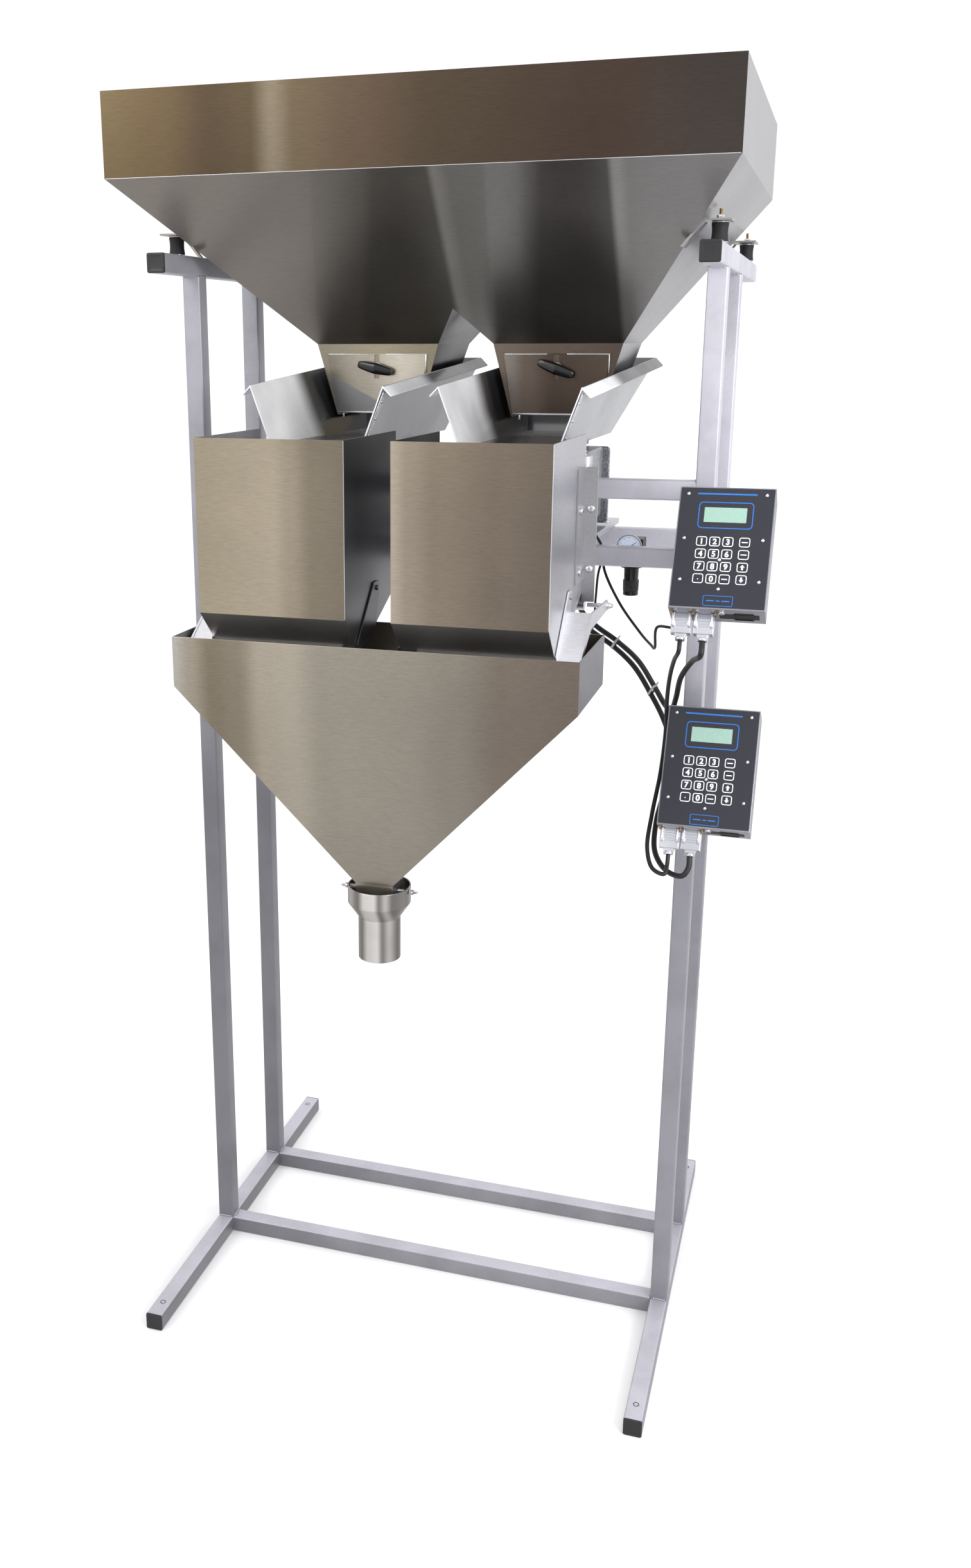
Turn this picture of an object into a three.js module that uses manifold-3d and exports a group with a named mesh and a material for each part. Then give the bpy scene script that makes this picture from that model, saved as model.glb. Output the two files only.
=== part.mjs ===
// Twin-head vibratory net-weigh filler. Millimetres, +Z up, -Y is the operator's side.
import * as THREE from "three";
import { mergeVertices } from "three/addons/utils/BufferGeometryUtils.js";
import { ConvexGeometry } from "three/addons/geometries/ConvexGeometry.js";
import Module from "manifold-3d";

const wasm = await Module();
wasm.setup();

// ---- driving dimensions ----------------------------------------------------
const GAP = 0.3; // clearance between pieces that touch
const TUBE = 31.75; // square frame tube
const TUBE_WALL = 2;
const HALF_TUBE = TUBE / 2;
const POST_X = 443.5; // post centre lines, left and right
const POST_Y = 127; // post centre lines, front and back
const FOOT_FRONT = -472;
const FOOT_BACK = 363;
const POST_TOP = 1878;
const BEAM_FRONT = -274;
const BEAM_BACK = 456;
const BEAM_TOP = POST_TOP + TUBE;
const UPPER_RAIL_TOP = 1553;
const LOWER_RAIL_TOP = 1443;
const X_SHIFT = -35; // with Y_SHIFT, puts the middle of the whole box over the origin
const Y_SHIFT = 33.5;

const SHEET = 2; // stainless sheet
const HOPPER = {
  top: 2142,
  bandBottom: 2015,
  halfWidth: 487,
  front: -350,
  back: 350,
  throatZ: 1766,
  throatOuter: 277,
  throatInner: 50,
  throatFront: 30,
  throatBack: 248,
  notchTop: 1823,
  lipZ: 1642,
  lipOuter: 240,
  lipInner: 84,
  lipBack: 200,
  frontCut: 1690, // the front of each outlet stops here, and the gate closes the rest
  frontCutMargin: 6,
};
const LUG = {
  thickness: 3,
  reach: 19,
  legWidth: 9,
  legDrop: 36,
  frontHalf: 25,
  backHalf: 38,
  backOffset: -14,
};
const ISOLATOR = { x: 447, radius: 13, height: 30, frontY: -183, backY: 345 };
const GATE = {
  top: 1749,
  bottom: 1646,
  topInner: 69,
  topOuter: 258,
  bottomInner: 86,
  bottomOuter: 238,
  lip: 8,
  slotHalf: 4.5,
  slotAbove: 24, // how far the clamping slot reaches above and below its stud
  slotBelow: 18,
};
const KNOB = { x: 163.5, z: 1724, halfLength: 34, stud: 3, studLength: 8, hub: 9, hubRoot: 8, hubLength: 16 };
const WING = {
  back: 9,
  front: 15,
  tipHalf: 6,
  rootBack: 5,
  rootFront: 18,
  rootHalfBack: 8,
  rootHalfFront: 6,
};
const TRAY = {
  front: -305,
  floorBack: 185,
  topBack: 345,
  floorZ: 1608,
  inner: 79,
  outer: 237,
  frontTopZ: 1702,
  backTopZ: 1740,
  frontInner: 43.5,
  frontOuter: 270.5,
  backInner: 50,
  backOuter: 293,
  hem: 12,
  hemDrop: 13,
};
const ARMATURE = { halfWidth: 55, front: -80, back: 90, depth: 14 }; // the block under each pan
const BASE_PLATE = { inner: 58, outer: 258, back: 187, thickness: 10 };
const DRIVE = {
  inner: 72,
  outer: 246,
  front: -88,
  back: 62,
  clearance: 2.5, // air gap of the magnet, under the pan's armature
  footHeight: 18,
  pedestalInner: 92,
  pedestalOuter: 226,
  pedestalFront: -70,
  pedestalBack: 60,
};
const DRIVE_PLATE = {
  inner: 62,
  outer: 256,
  footInner: 80,
  footOuter: 238,
  front: 61,
  back: 69,
  shoulder: 22,
};
const BUCKET = {
  inner: 35.5,
  outer: 272,
  front: -517,
  back: -265,
  top: 1632,
  backTop: 1600,
  foldZ: 1369,
  outletFront: -464,
  outletFrontZ: 1316,
  outletBack: -384,
  outletBackZ: 1334,
  backFoldZ: 1386,
};
const BUCKET_ANGLE = {
  legFront: -332,
  legBottom: 1407,
  flangeBottom: 1372,
  top: 1582,
  width: 20,
  thickness: 2.5,
};
const HANGER = { inner: 60, thickness: 4, bottom: 1440 };
const DOOR_PIVOT = { y: -375, z: 1397, radius: 4 };
const DOOR = { sideGap: 1, flapLip: 6, flapDrop: 3, leverInner: 308, leverOuter: 311 };
const CRANK_PIN = { x: 268, y: -248, z: 1364, radius: 3.5, end: 320 };
const CYLINDER = { bottom: 1462, top: 1598, radius: 11, bore: 6, endWall: 12, clampBottom: 10, clampTop: 40 };
const CYLINDER_ROD = { radius: 4, inside: 32, eyeRadius: 9, eyeHalf: 7 };
const LOAD_CELL = {
  inner: 95,
  outer: 225,
  front: -215,
  back: -190,
  bottom: 1480,
  top: 1510,
  boreRadius: 10,
  boreX: [148, 172],
  block: 30,
};
const SCALE_BRACKET = { inner: 85, outer: 165, thickness: 6 };
const CHUTE = {
  halfWidth: 319,
  front: -523,
  back: -312,
  top: 1330,
  bandBottom: 1251,
  tipHalf: 31,
  tipFront: -495,
  tipBack: -439,
  tipZ: 946,
  neckBottom: 924,
};
const CHUTE_HANGER = {
  halfWidth: 252,
  strapInner: 226,
  thickness: 4,
  bottom: 1262,
  top: 1322,
  strapThickness: 6,
};
const SPOUT = { y: -467, ring: 50.5, tube: 34, top: 937, ringBottom: 909, tubeTop: 885, bottom: 814 };
const THUMBSCREW = { drop: 8, shaft: 2.8, hole: 3.4, collar: 4.5, ear: 6.5, earHalf: 1.5, reach: 8 };
const CONTROLLER = { left: 412, width: 145, height: 198, depth: 60, tilt: 28, faceY: -300 };
const CONTROLLER_Z = { upper: 1376, lower: 1025 };
const CONTROLLER_BRACKET = { bottom: 78, top: 142, caseBottom: 58, caseTop: 182, thickness: 2, slant: 6 };
const POWER_INLET = { left: 98, right: 128, front: -18, back: -44, depth: 12 };
const PORT = { lefts: [4, 38], width: 32, front: -24, back: -42, depth: 3 };
const CONNECTOR = {
  inset: 0.5,
  front: -25,
  back: -41,
  height: 32,
  neckTaper: 2,
  waist: 6,
  neck: 10,
  neckEnd: -42,
};
const REGULATOR = { x: 321, y: -66, halfBlock: 20, bottom: 1414, top: 1450, bonnet: 18, bonnetBottom: 1400 };
const REGULATOR_KNOB = { bottom: 1352, bottomRadius: 13, topRadius: 15 };
const GAUGE = { z: 1440, radius: 21, depth: 14, socketRadius: 6, socketLength: 6, drop: 3 };
const REGULATOR_LUG = { left: 15, right: 40, thickness: 4, legThickness: 3, legTop: 1438 };

// ---- materials -------------------------------------------------------------
function finish(color, roughness, metalness) {
  return new THREE.MeshStandardMaterial({ color, roughness, metalness });
}
const stainless = finish(0xb3aea6, 0.35, 0.9);
const powderCoat = finish(0x8d8b96, 0.5, 0.1);
const rubber = finish(0x1a1a1c, 0.8, 0);
const blackPlastic = finish(0x141416, 0.4, 0);
const hammertone = finish(0x85898d, 0.45, 0.5);
const aluminium = finish(0xb9bcc0, 0.4, 0.8);
const casing = finish(0x2b3040, 0.5, 0.2);
const dial = finish(0xe8eef4, 0.3, 0);
const hood = finish(0x9b9ca3, 0.4, 0.6);

// ---- solids ----------------------------------------------------------------
function solidOf(geometry) {
  const bare = geometry.clone();
  bare.deleteAttribute("normal");
  bare.deleteAttribute("uv");
  const merged = mergeVertices(bare, 1e-4);
  const vertProperties = new Float32Array(merged.attributes.position.array);
  const triVerts = new Uint32Array(merged.index.array);
  return new wasm.Manifold(new wasm.Mesh({ numProp: 3, vertProperties, triVerts }));
}

function geometryOf(solid) {
  const mesh = solid.getMesh();
  const geometry = new THREE.BufferGeometry();
  geometry.setAttribute("position", new THREE.Float32BufferAttribute(Array.from(mesh.vertProperties), 3));
  geometry.setIndex(Array.from(mesh.triVerts));
  geometry.computeVertexNormals();
  return geometry;
}

const join = (...solids) => solids.reduce((whole, piece) => whole.add(piece));
const cut = (whole, ...tools) => tools.reduce((rest, tool) => rest.subtract(tool), whole);

// A box between two values on each axis; the ends may come in either order.
function box(x0, x1, y0, y1, z0, z1) {
  const geometry = new THREE.BoxGeometry(Math.abs(x1 - x0), Math.abs(y1 - y0), Math.abs(z1 - z0));
  return solidOf(geometry.translate((x0 + x1) / 2, (y0 + y1) / 2, (z0 + z1) / 2));
}

function hull(points) {
  return solidOf(new ConvexGeometry(points.map((point) => new THREE.Vector3(...point))));
}

// The solid between two level rectangles, each { x: [a, b], y: [a, b], z }.
function taper(upper, lower) {
  const corners = [];
  for (const level of [upper, lower]) {
    for (const x of level.x) {
      for (const y of level.y) {
        corners.push([x, y, level.z]);
      }
    }
  }
  return hull(corners);
}

// A cylinder or cone from one centre to another.
function rod(start, end, radius, endRadius = radius, sides = 24) {
  const from = new THREE.Vector3(...start);
  const to = new THREE.Vector3(...end);
  const geometry = new THREE.CylinderGeometry(endRadius, radius, from.distanceTo(to), sides);
  const turn = new THREE.Quaternion().setFromUnitVectors(
    new THREE.Vector3(0, 1, 0),
    to.clone().sub(from).normalize(),
  );
  geometry.applyQuaternion(turn);
  const middle = from.add(to).multiplyScalar(0.5);
  return solidOf(geometry.translate(middle.x, middle.y, middle.z));
}

// A side view outline of [y, z] points, extruded from x0 to x1.
function sideProfile(outline, x0, x1) {
  const shape = new THREE.Shape(outline.map(([y, z]) => new THREE.Vector2(y, z)));
  const geometry = new THREE.ExtrudeGeometry(shape, { depth: Math.abs(x1 - x0), bevelEnabled: false });
  // The extrusion runs along +Z; cycle the axes so that it runs along +X.
  geometry.applyMatrix4(new THREE.Matrix4().set(0, 0, 1, 0, 1, 0, 0, 0, 0, 1, 0, 0, 0, 0, 0, 1));
  return solidOf(geometry.translate(Math.min(x0, x1), 0, 0));
}

const SIDES = [["left", -1], ["right", 1]];
const filler = new THREE.Group();
filler.position.set(X_SHIFT, Y_SHIFT, 0);

function place(name, solid, material, parent = filler) {
  const mesh = new THREE.Mesh(solid.isBufferGeometry ? solid : geometryOf(solid), material);
  mesh.name = name;
  parent.add(mesh);
  return mesh;
}

// ---- frame -----------------------------------------------------------------
// An open-ended square tube centred on its axis, from low to high along "x", "y" or "z".
function squareTube(axis, low, high, across, up) {
  const inside = HALF_TUBE - TUBE_WALL;
  const around = (centre, half) => [centre - half, centre + half];
  const bar = (half, a, b) => {
    const first = around(across, half);
    const second = around(up, half);
    if (axis === "x") return box(a, b, ...first, ...second);
    if (axis === "y") return box(...first, a, b, ...second);
    return box(...first, ...second, a, b);
  };
  return cut(bar(HALF_TUBE, low, high), bar(inside, low - 1, high + 1));
}

function buildFrame() {
  for (const [side, sign] of SIDES) {
    place(`foot_${side}`, squareTube("y", FOOT_FRONT, FOOT_BACK, sign * POST_X, HALF_TUBE), powderCoat);
    const beamCentre = POST_TOP + HALF_TUBE;
    place(`top_beam_${side}`, squareTube("y", BEAM_FRONT, BEAM_BACK, sign * POST_X, beamCentre), powderCoat);
    for (const [end, y] of [["front", -POST_Y], ["back", POST_Y]]) {
      const post = squareTube("z", TUBE + GAP, POST_TOP - GAP, sign * POST_X, y);
      place(`post_${end}_${side}`, post, powderCoat);
    }
  }
  const reach = POST_X - HALF_TUBE - GAP;
  const rails = [
    ["floor_rail_front", -POST_Y, HALF_TUBE],
    ["floor_rail_back", POST_Y, HALF_TUBE],
    ["upper_rail_front", -POST_Y, UPPER_RAIL_TOP - HALF_TUBE],
    ["lower_rail_front", -POST_Y, LOWER_RAIL_TOP - HALF_TUBE],
    ["lower_rail_back", POST_Y, LOWER_RAIL_TOP - HALF_TUBE],
  ];
  for (const [name, y, z] of rails) {
    place(name, squareTube("x", -reach, reach, y, z), powderCoat);
  }
}

// ---- supply hopper ---------------------------------------------------------
// The hopper's outer form, drawn in by "inset" on its faces and run past its open ends.
function hopperBody(inset) {
  const h = HOPPER;
  const span = (half) => [-half + inset, half - inset];
  const mouth = { x: span(h.halfWidth), y: [h.front + inset, h.back - inset] };
  const throat = { x: span(h.throatOuter), y: [h.throatFront + inset, h.throatBack - inset], z: h.throatZ };
  const band = taper({ ...mouth, z: h.top + inset }, { ...mouth, z: h.bandBottom });
  const slope = taper({ ...mouth, z: h.bandBottom }, throat);
  const notchHalf = h.throatInner + inset;
  const notchTop = h.notchTop + 2 * inset;
  const notchBottom = h.throatZ - 5;
  const notch = hull(
    [h.front, h.back].flatMap((y) => [
      [0, y, notchTop],
      [-notchHalf, y, h.throatZ],
      [notchHalf, y, h.throatZ],
      [-notchHalf, y, notchBottom],
      [notchHalf, y, notchBottom],
    ]),
  );
  let body = join(band, cut(slope, notch));
  for (const sign of [-1, 1]) {
    const top = [sign * (h.throatInner + inset), sign * (h.throatOuter - inset)];
    const lip = [sign * (h.lipInner + inset), sign * (h.lipOuter - inset)];
    const upper = { x: top, y: [h.throatFront + inset, h.throatBack - inset], z: h.throatZ };
    const lower = { x: lip, y: [h.throatFront + inset, h.lipBack - inset], z: h.lipZ - inset };
    body = body.add(taper(upper, lower));
  }
  return body;
}

// A lug: a level plate over the isolator, with legs down the hopper's sloping side beside it.
function hopperLug(sign, y, halfLength) {
  const slope = (HOPPER.halfWidth - HOPPER.throatOuter) / (HOPPER.bandBottom - HOPPER.throatZ);
  const wallX = (z) => HOPPER.halfWidth - (HOPPER.bandBottom - z) * slope;
  const bottom = BEAM_TOP + ISOLATOR.height + 2 * GAP;
  const top = bottom + LUG.thickness;
  const inside = wallX(top) - 2 * SHEET;
  const reach = ISOLATOR.x + LUG.reach;
  const plate = box(sign * inside, sign * reach, y - halfLength, y + halfLength, bottom, top);
  const legs = [-1, 1].map((end) => {
    const corners = [];
    for (const length of [halfLength - LUG.legWidth, halfLength]) {
      for (const z of [top, bottom - LUG.legDrop]) {
        corners.push([sign * (wallX(z) - SHEET), y + end * length, z]);
        corners.push([sign * (wallX(z) + LUG.thickness), y + end * length, z]);
      }
    }
    return hull(corners);
  });
  return join(plate, ...legs);
}

function buildHopper() {
  let hopper = cut(hopperBody(0), hopperBody(SHEET));
  const lugs = [
    [ISOLATOR.frontY, LUG.frontHalf],
    [ISOLATOR.backY + LUG.backOffset, LUG.backHalf],
  ];
  for (const sign of [-1, 1]) {
    // The outlet's front wall stops above the lip, and the gate covers the opening.
    const [inner, outer] = [HOPPER.lipInner + HOPPER.frontCutMargin, HOPPER.lipOuter - HOPPER.frontCutMargin];
    const wall = [HOPPER.throatFront - SHEET, HOPPER.throatFront + 2 * SHEET];
    hopper = cut(hopper, box(sign * inner, sign * outer, ...wall, HOPPER.lipZ - SHEET, HOPPER.frontCut));
    for (const [y, halfLength] of lugs) {
      // The lug reaches half way into the wall, so that the two join along clean lines.
      hopper = hopper.add(cut(hopperLug(sign, y, halfLength), hopperBody(SHEET / 2)));
    }
  }
  place("supply_hopper", hopper, stainless);

  for (const [side, sign] of SIDES) {
    for (const [end, y] of [["front", ISOLATOR.frontY], ["back", ISOLATOR.backY]]) {
      const foot = BEAM_TOP + GAP;
      const centre = [sign * ISOLATOR.x, y];
      const isolator = rod([...centre, foot], [...centre, foot + ISOLATOR.height], ISOLATOR.radius);
      place(`isolator_${end}_${side}`, isolator, rubber);
    }
  }
}

function buildGates() {
  const face = HOPPER.throatFront - GAP; // the gate slides on the outlet's front
  const g = GATE;
  for (const [side, sign] of SIDES) {
    const plate = hull(
      [face, face - SHEET].flatMap((y) => [
        [sign * g.topInner, y, g.top],
        [sign * g.topOuter, y, g.top],
        [sign * g.bottomInner, y, g.bottom],
        [sign * g.bottomOuter, y, g.bottom],
      ]),
    );
    const centre = sign * KNOB.x;
    const slotX = [centre - g.slotHalf, centre + g.slotHalf];
    const slot = box(...slotX, face - 2 * SHEET, face + SHEET, KNOB.z - g.slotBelow, KNOB.z + g.slotAbove);
    const lipX = [sign * (g.bottomInner + 1), sign * (g.bottomOuter - 1)];
    const lip = box(...lipX, face - g.lip, face, g.bottom, g.bottom + SHEET);
    place(`gate_${side}`, cut(join(plate, lip), slot), stainless);

    const front = face - SHEET - GAP;
    const stud = rod([centre, front - KNOB.studLength, KNOB.z], [centre, face, KNOB.z], KNOB.stud);
    const hubFront = front - KNOB.hubLength;
    const hub = rod([centre, hubFront, KNOB.z], [centre, front, KNOB.z], KNOB.hubRoot, KNOB.hub);
    const tips = [-KNOB.halfLength, KNOB.halfLength].flatMap((x) =>
      [WING.back, WING.front].flatMap((depth) => [
        [centre + x, front - depth, KNOB.z - WING.tipHalf],
        [centre + x, front - depth, KNOB.z + WING.tipHalf],
      ]),
    );
    const root = [
      [centre, front - WING.rootBack, KNOB.z - WING.rootHalfBack],
      [centre, front - WING.rootBack, KNOB.z + WING.rootHalfBack],
      [centre, front - WING.rootFront, KNOB.z - WING.rootHalfFront],
      [centre, front - WING.rootFront, KNOB.z + WING.rootHalfFront],
    ];
    place(`gate_knob_${side}`, join(stud, hub, hull([...tips, ...root])), blackPlastic);
  }
}

// ---- vibratory feeders -----------------------------------------------------
// The pan as a solid, drawn in by "inset" on its inside faces and run past its open top and front.
function pan(sign, inset) {
  const t = TRAY;
  const rise = inset > 0 ? 6 : 0;
  const spread = rise * 0.4; // the side walls lean out by this much over the rise
  const floor = t.floorZ + inset;
  const frontEnd = inset > 0 ? t.front - 2 * SHEET : t.front;
  const level = (y, inner, outer, z) => [[sign * (inner + inset), y, z], [sign * (outer - inset), y, z]];
  return hull([
    ...level(frontEnd, t.inner, t.outer, floor),
    ...level(t.floorBack - inset, t.inner, t.outer, floor),
    ...level(frontEnd, t.frontInner - spread, t.frontOuter + spread, t.frontTopZ + rise),
    ...level(t.topBack - inset, t.backInner - spread, t.backOuter + spread, t.backTopZ + rise),
  ]);
}

// A narrow return along one top edge; "near" and "far" are its offsets out from the edge.
function panHem(sign, near, far, frontX, backX) {
  const corners = [];
  for (const [y, edge, z] of [[TRAY.front, frontX, TRAY.frontTopZ], [TRAY.topBack, backX, TRAY.backTopZ]]) {
    for (const below of [0.5, 3]) {
      corners.push([sign * (edge + near), y, z - below]);
      corners.push([sign * (edge + far), y, z - below - TRAY.hemDrop]);
    }
  }
  return hull(corners);
}

function buildFeeders() {
  for (const [side, sign] of SIDES) {
    const outerHem = panHem(sign, -1, TRAY.hem, TRAY.frontOuter, TRAY.backOuter);
    const innerHem = panHem(sign, 1, -TRAY.hem, TRAY.frontInner, TRAY.backInner);
    const middle = (sign * (TRAY.inner + TRAY.outer)) / 2;
    const armatureX = [middle - ARMATURE.halfWidth, middle + ARMATURE.halfWidth];
    const armatureBottom = TRAY.floorZ - ARMATURE.depth;
    const armature = box(...armatureX, ARMATURE.front, ARMATURE.back, armatureBottom, TRAY.floorZ + 1);
    const tray = join(cut(pan(sign, 0), pan(sign, SHEET)), outerHem, innerHem, armature);
    place(`feeder_tray_${side}`, tray, stainless);

    const plateBottom = LOWER_RAIL_TOP + GAP;
    const plateTop = plateBottom + BASE_PLATE.thickness;
    const plateX = [sign * BASE_PLATE.inner, sign * BASE_PLATE.outer];
    const plate = box(...plateX, -POST_Y - HALF_TUBE, BASE_PLATE.back, plateBottom, plateTop);
    place(`base_plate_${side}`, plate, aluminium);

    const d = DRIVE;
    const top = armatureBottom - d.clearance;
    const foot = plateTop + GAP;
    const casting = box(sign * d.inner, sign * d.outer, d.front, d.back, foot + d.footHeight, top);
    const pedestalX = [sign * d.pedestalInner, sign * d.pedestalOuter];
    const pedestal = box(...pedestalX, d.pedestalFront, d.pedestalBack, foot, foot + d.footHeight + SHEET);
    const p = DRIVE_PLATE;
    const backPlate = hull(
      [p.front, p.back].flatMap((y) => [
        [sign * p.inner, y, top],
        [sign * p.outer, y, top],
        [sign * p.inner, y, foot + p.shoulder],
        [sign * p.outer, y, foot + p.shoulder],
        [sign * p.footInner, y, foot],
        [sign * p.footOuter, y, foot],
      ]),
    );
    place(`feeder_drive_${side}`, join(casting, pedestal, backPlate), hammertone);
  }
}

// ---- weigh buckets ---------------------------------------------------------
// The bucket's side view, drawn in by "inset" and run past its open top and outlet.
function bucketOutline(inset) {
  const b = BUCKET;
  return [
    [b.front + inset, b.top + inset],
    [b.back - inset, b.top + inset],
    [b.back - inset, b.backFoldZ + inset * 0.5],
    [b.outletBack - inset * 0.4, b.outletBackZ + inset],
    [b.outletFront + inset, b.outletFrontZ - inset],
    [b.front + inset, b.foldZ + inset * 0.5],
  ];
}

function buildBucketBody(side, sign) {
  const b = BUCKET;
  const angle = BUCKET_ANGLE;
  const inside = [sign * (b.inner + SHEET), sign * (b.outer - SHEET)];
  const skin = sideProfile(bucketOutline(0), sign * b.inner, sign * b.outer);
  const hollow = sideProfile(bucketOutline(SHEET), ...inside);
  const outlet = sideProfile(
    [
      [b.outletFront + SHEET, b.outletFrontZ + 8],
      [b.outletBack - 1, b.outletBackZ + 4],
      [b.outletBack - 6, b.outletBackZ - 16],
      [b.outletFront + 3 * SHEET, b.outletFrontZ - 10],
    ],
    ...inside,
  );
  // The back wall is cut down where the feeder pan reaches over it.
  const panGap = box(...inside, b.back - 1.5 * SHEET, b.back + 1, b.backTop, b.top + 5);
  const shell = cut(skin, hollow, outlet, panGap);

  // Angles down the outer back corner; the flange stands out to the side.
  const flangeX = [sign * (b.outer - 1), sign * (b.outer + angle.width)];
  const legX = [sign * (b.outer - 1), sign * (b.outer + angle.thickness)];
  const leg = box(...legX, angle.legFront, b.back + 2, angle.legBottom, angle.top);
  const flange = box(...flangeX, b.back - 0.5, b.back + 2, angle.flangeBottom, angle.top);
  const hangerX = [sign * HANGER.inner, sign * (b.outer + angle.width)];
  const hanger = box(...hangerX, b.back + 1, b.back + 1 + HANGER.thickness, HANGER.bottom, angle.top);
  const spacerX = [sign * (LOAD_CELL.outer - LOAD_CELL.block), sign * LOAD_CELL.outer];
  const spacerY = [b.back + HANGER.thickness, LOAD_CELL.front - GAP];
  const spacer = box(...spacerX, ...spacerY, LOAD_CELL.bottom, LOAD_CELL.top);
  const pivotAt = (x) => [sign * x, DOOR_PIVOT.y, DOOR_PIVOT.z];
  const innerPin = rod(pivotAt(b.inner + 1), pivotAt(b.inner - 6), DOOR_PIVOT.radius);
  const outerPin = rod(pivotAt(b.outer - 1), pivotAt(b.outer + 6), DOOR_PIVOT.radius);
  place(`weigh_bucket_${side}`, join(shell, leg, flange, hanger, spacer, innerPin, outerPin), stainless);
}

function buildBucketDoor(side, sign) {
  const b = BUCKET;
  const pivot = DOOR_PIVOT;
  const rear = [b.outletBack - 1, b.outletBackZ - DOOR.flapDrop];
  const front = [b.outletFront - DOOR.flapLip, b.outletFrontZ - DOOR.flapDrop];
  const under = ([y, z]) => [y, z - SHEET];
  const inner = b.inner - DOOR.sideGap;
  const outer = b.outer + DOOR.sideGap;
  const flapOutline = [rear, under(rear), under(front), front];
  const flap = sideProfile(flapOutline, sign * (inner - SHEET), sign * (outer + SHEET));
  const arm = (x0, x1) => {
    const outline = [
      [pivot.y - 12, pivot.z + 10],
      [pivot.y + 10, pivot.z + 10],
      [pivot.y + 12, pivot.z - 10],
      under(rear),
      under(front),
      [front[0], front[1] + 10],
    ];
    const hole = rod([x0 - 5, pivot.y, pivot.z], [x0 + 5, pivot.y, pivot.z], pivot.radius + GAP);
    return cut(sideProfile(outline, x0, x1), hole);
  };
  const innerArm = arm(sign * inner, sign * (inner - SHEET));
  const outerArm = arm(sign * outer, sign * (outer + SHEET));

  // A web from the outer arm carries the lever, whose crank pin sits behind the bucket.
  const webTop = [b.outletBack, pivot.z - 21];
  const webFront = [front[0] - 6, front[1] + 1];
  const webOutline = [webTop, under(webTop), under(webFront), webFront];
  const web = sideProfile(webOutline, sign * (outer + 0.5), sign * (DOOR.leverOuter - 1));
  const lever = sideProfile(
    [
      webTop,
      [CRANK_PIN.y - 12, CRANK_PIN.z + 9],
      [CRANK_PIN.y + 4, CRANK_PIN.z + 9],
      [CRANK_PIN.y + 10, CRANK_PIN.z - 7],
      [pivot.y - 17, pivot.z - 45],
      [webFront[0], webFront[1] - 4],
      [webFront[0], webFront[1] + 2],
    ],
    sign * DOOR.leverInner,
    sign * DOOR.leverOuter,
  );
  const pinStart = CRANK_PIN.x + CYLINDER.radius;
  const pinAt = (x) => [sign * x, CRANK_PIN.y, CRANK_PIN.z];
  const pin = rod(pinAt(pinStart), pinAt(CRANK_PIN.end), CRANK_PIN.radius);
  place(`bucket_door_${side}`, join(flap, innerArm, outerArm, web, lever, pin), stainless);
}

function buildActuators() {
  const c = CYLINDER;
  for (const [side, sign] of SIDES) {
    const x = sign * CRANK_PIN.x;
    const at = (z) => [x, CRANK_PIN.y, z];
    const barrel = rod(at(c.bottom), at(c.top), c.radius);
    const clampY = [BUCKET.back + 1 + HANGER.thickness + GAP, CRANK_PIN.y];
    const clamp = box(x - 12, x + 12, ...clampY, c.bottom + c.clampBottom, c.bottom + c.clampTop);
    const bore = rod(at(c.bottom - 1), at(c.top - c.endWall), c.bore);
    place(`air_cylinder_${side}`, cut(join(barrel, clamp), bore), aluminium);

    const shaft = rod(at(CRANK_PIN.z + 6), at(c.bottom + CYLINDER_ROD.inside), CYLINDER_ROD.radius);
    const eyeAt = (offset) => [x + offset, CRANK_PIN.y, CRANK_PIN.z];
    const eye = rod(eyeAt(-CYLINDER_ROD.eyeHalf), eyeAt(CYLINDER_ROD.eyeHalf), CYLINDER_ROD.eyeRadius);
    place(`cylinder_rod_${side}`, join(shaft, eye), stainless);
  }
}

function buildLoadCells() {
  const cell = LOAD_CELL;
  const plate = SCALE_BRACKET;
  const face = -POST_Y - HALF_TUBE - GAP;
  for (const [side, sign] of SIDES) {
    const plateX = [sign * plate.inner, sign * plate.outer];
    const backing = box(...plateX, face - plate.thickness, face, LOWER_RAIL_TOP - TUBE, UPPER_RAIL_TOP);
    const blockX = [sign * cell.inner, sign * (cell.inner + cell.block)];
    const block = box(...blockX, cell.back + GAP, face - plate.thickness + 1, cell.bottom, cell.top);
    place(`scale_bracket_${side}`, join(backing, block), aluminium);

    const beam = box(sign * cell.inner, sign * cell.outer, cell.front, cell.back, cell.bottom, cell.top);
    const middleZ = (cell.bottom + cell.top) / 2;
    const bores = cell.boreX.map((x) =>
      rod([sign * x, cell.front - 1, middleZ], [sign * x, cell.back + 1, middleZ], cell.boreRadius),
    );
    place(`load_cell_${side}`, cut(beam, ...bores), aluminium);
  }
}

// ---- discharge chute and spout ---------------------------------------------
function chuteBody(inset) {
  const c = CHUTE;
  const wide = [-c.halfWidth + inset, c.halfWidth - inset];
  const narrow = [-c.tipHalf + inset, c.tipHalf - inset];
  const depth = [c.front + inset, c.back - inset];
  const tipDepth = [c.tipFront + inset, c.tipBack - inset];
  const top = taper({ x: wide, y: depth, z: c.top + inset }, { x: wide, y: depth, z: c.bandBottom });
  const funnel = taper({ x: wide, y: depth, z: c.bandBottom }, { x: narrow, y: tipDepth, z: c.tipZ });
  const neckEnd = c.neckBottom - inset;
  const neck = taper({ x: narrow, y: tipDepth, z: c.tipZ }, { x: narrow, y: tipDepth, z: neckEnd });
  return join(top, funnel, neck);
}

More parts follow.
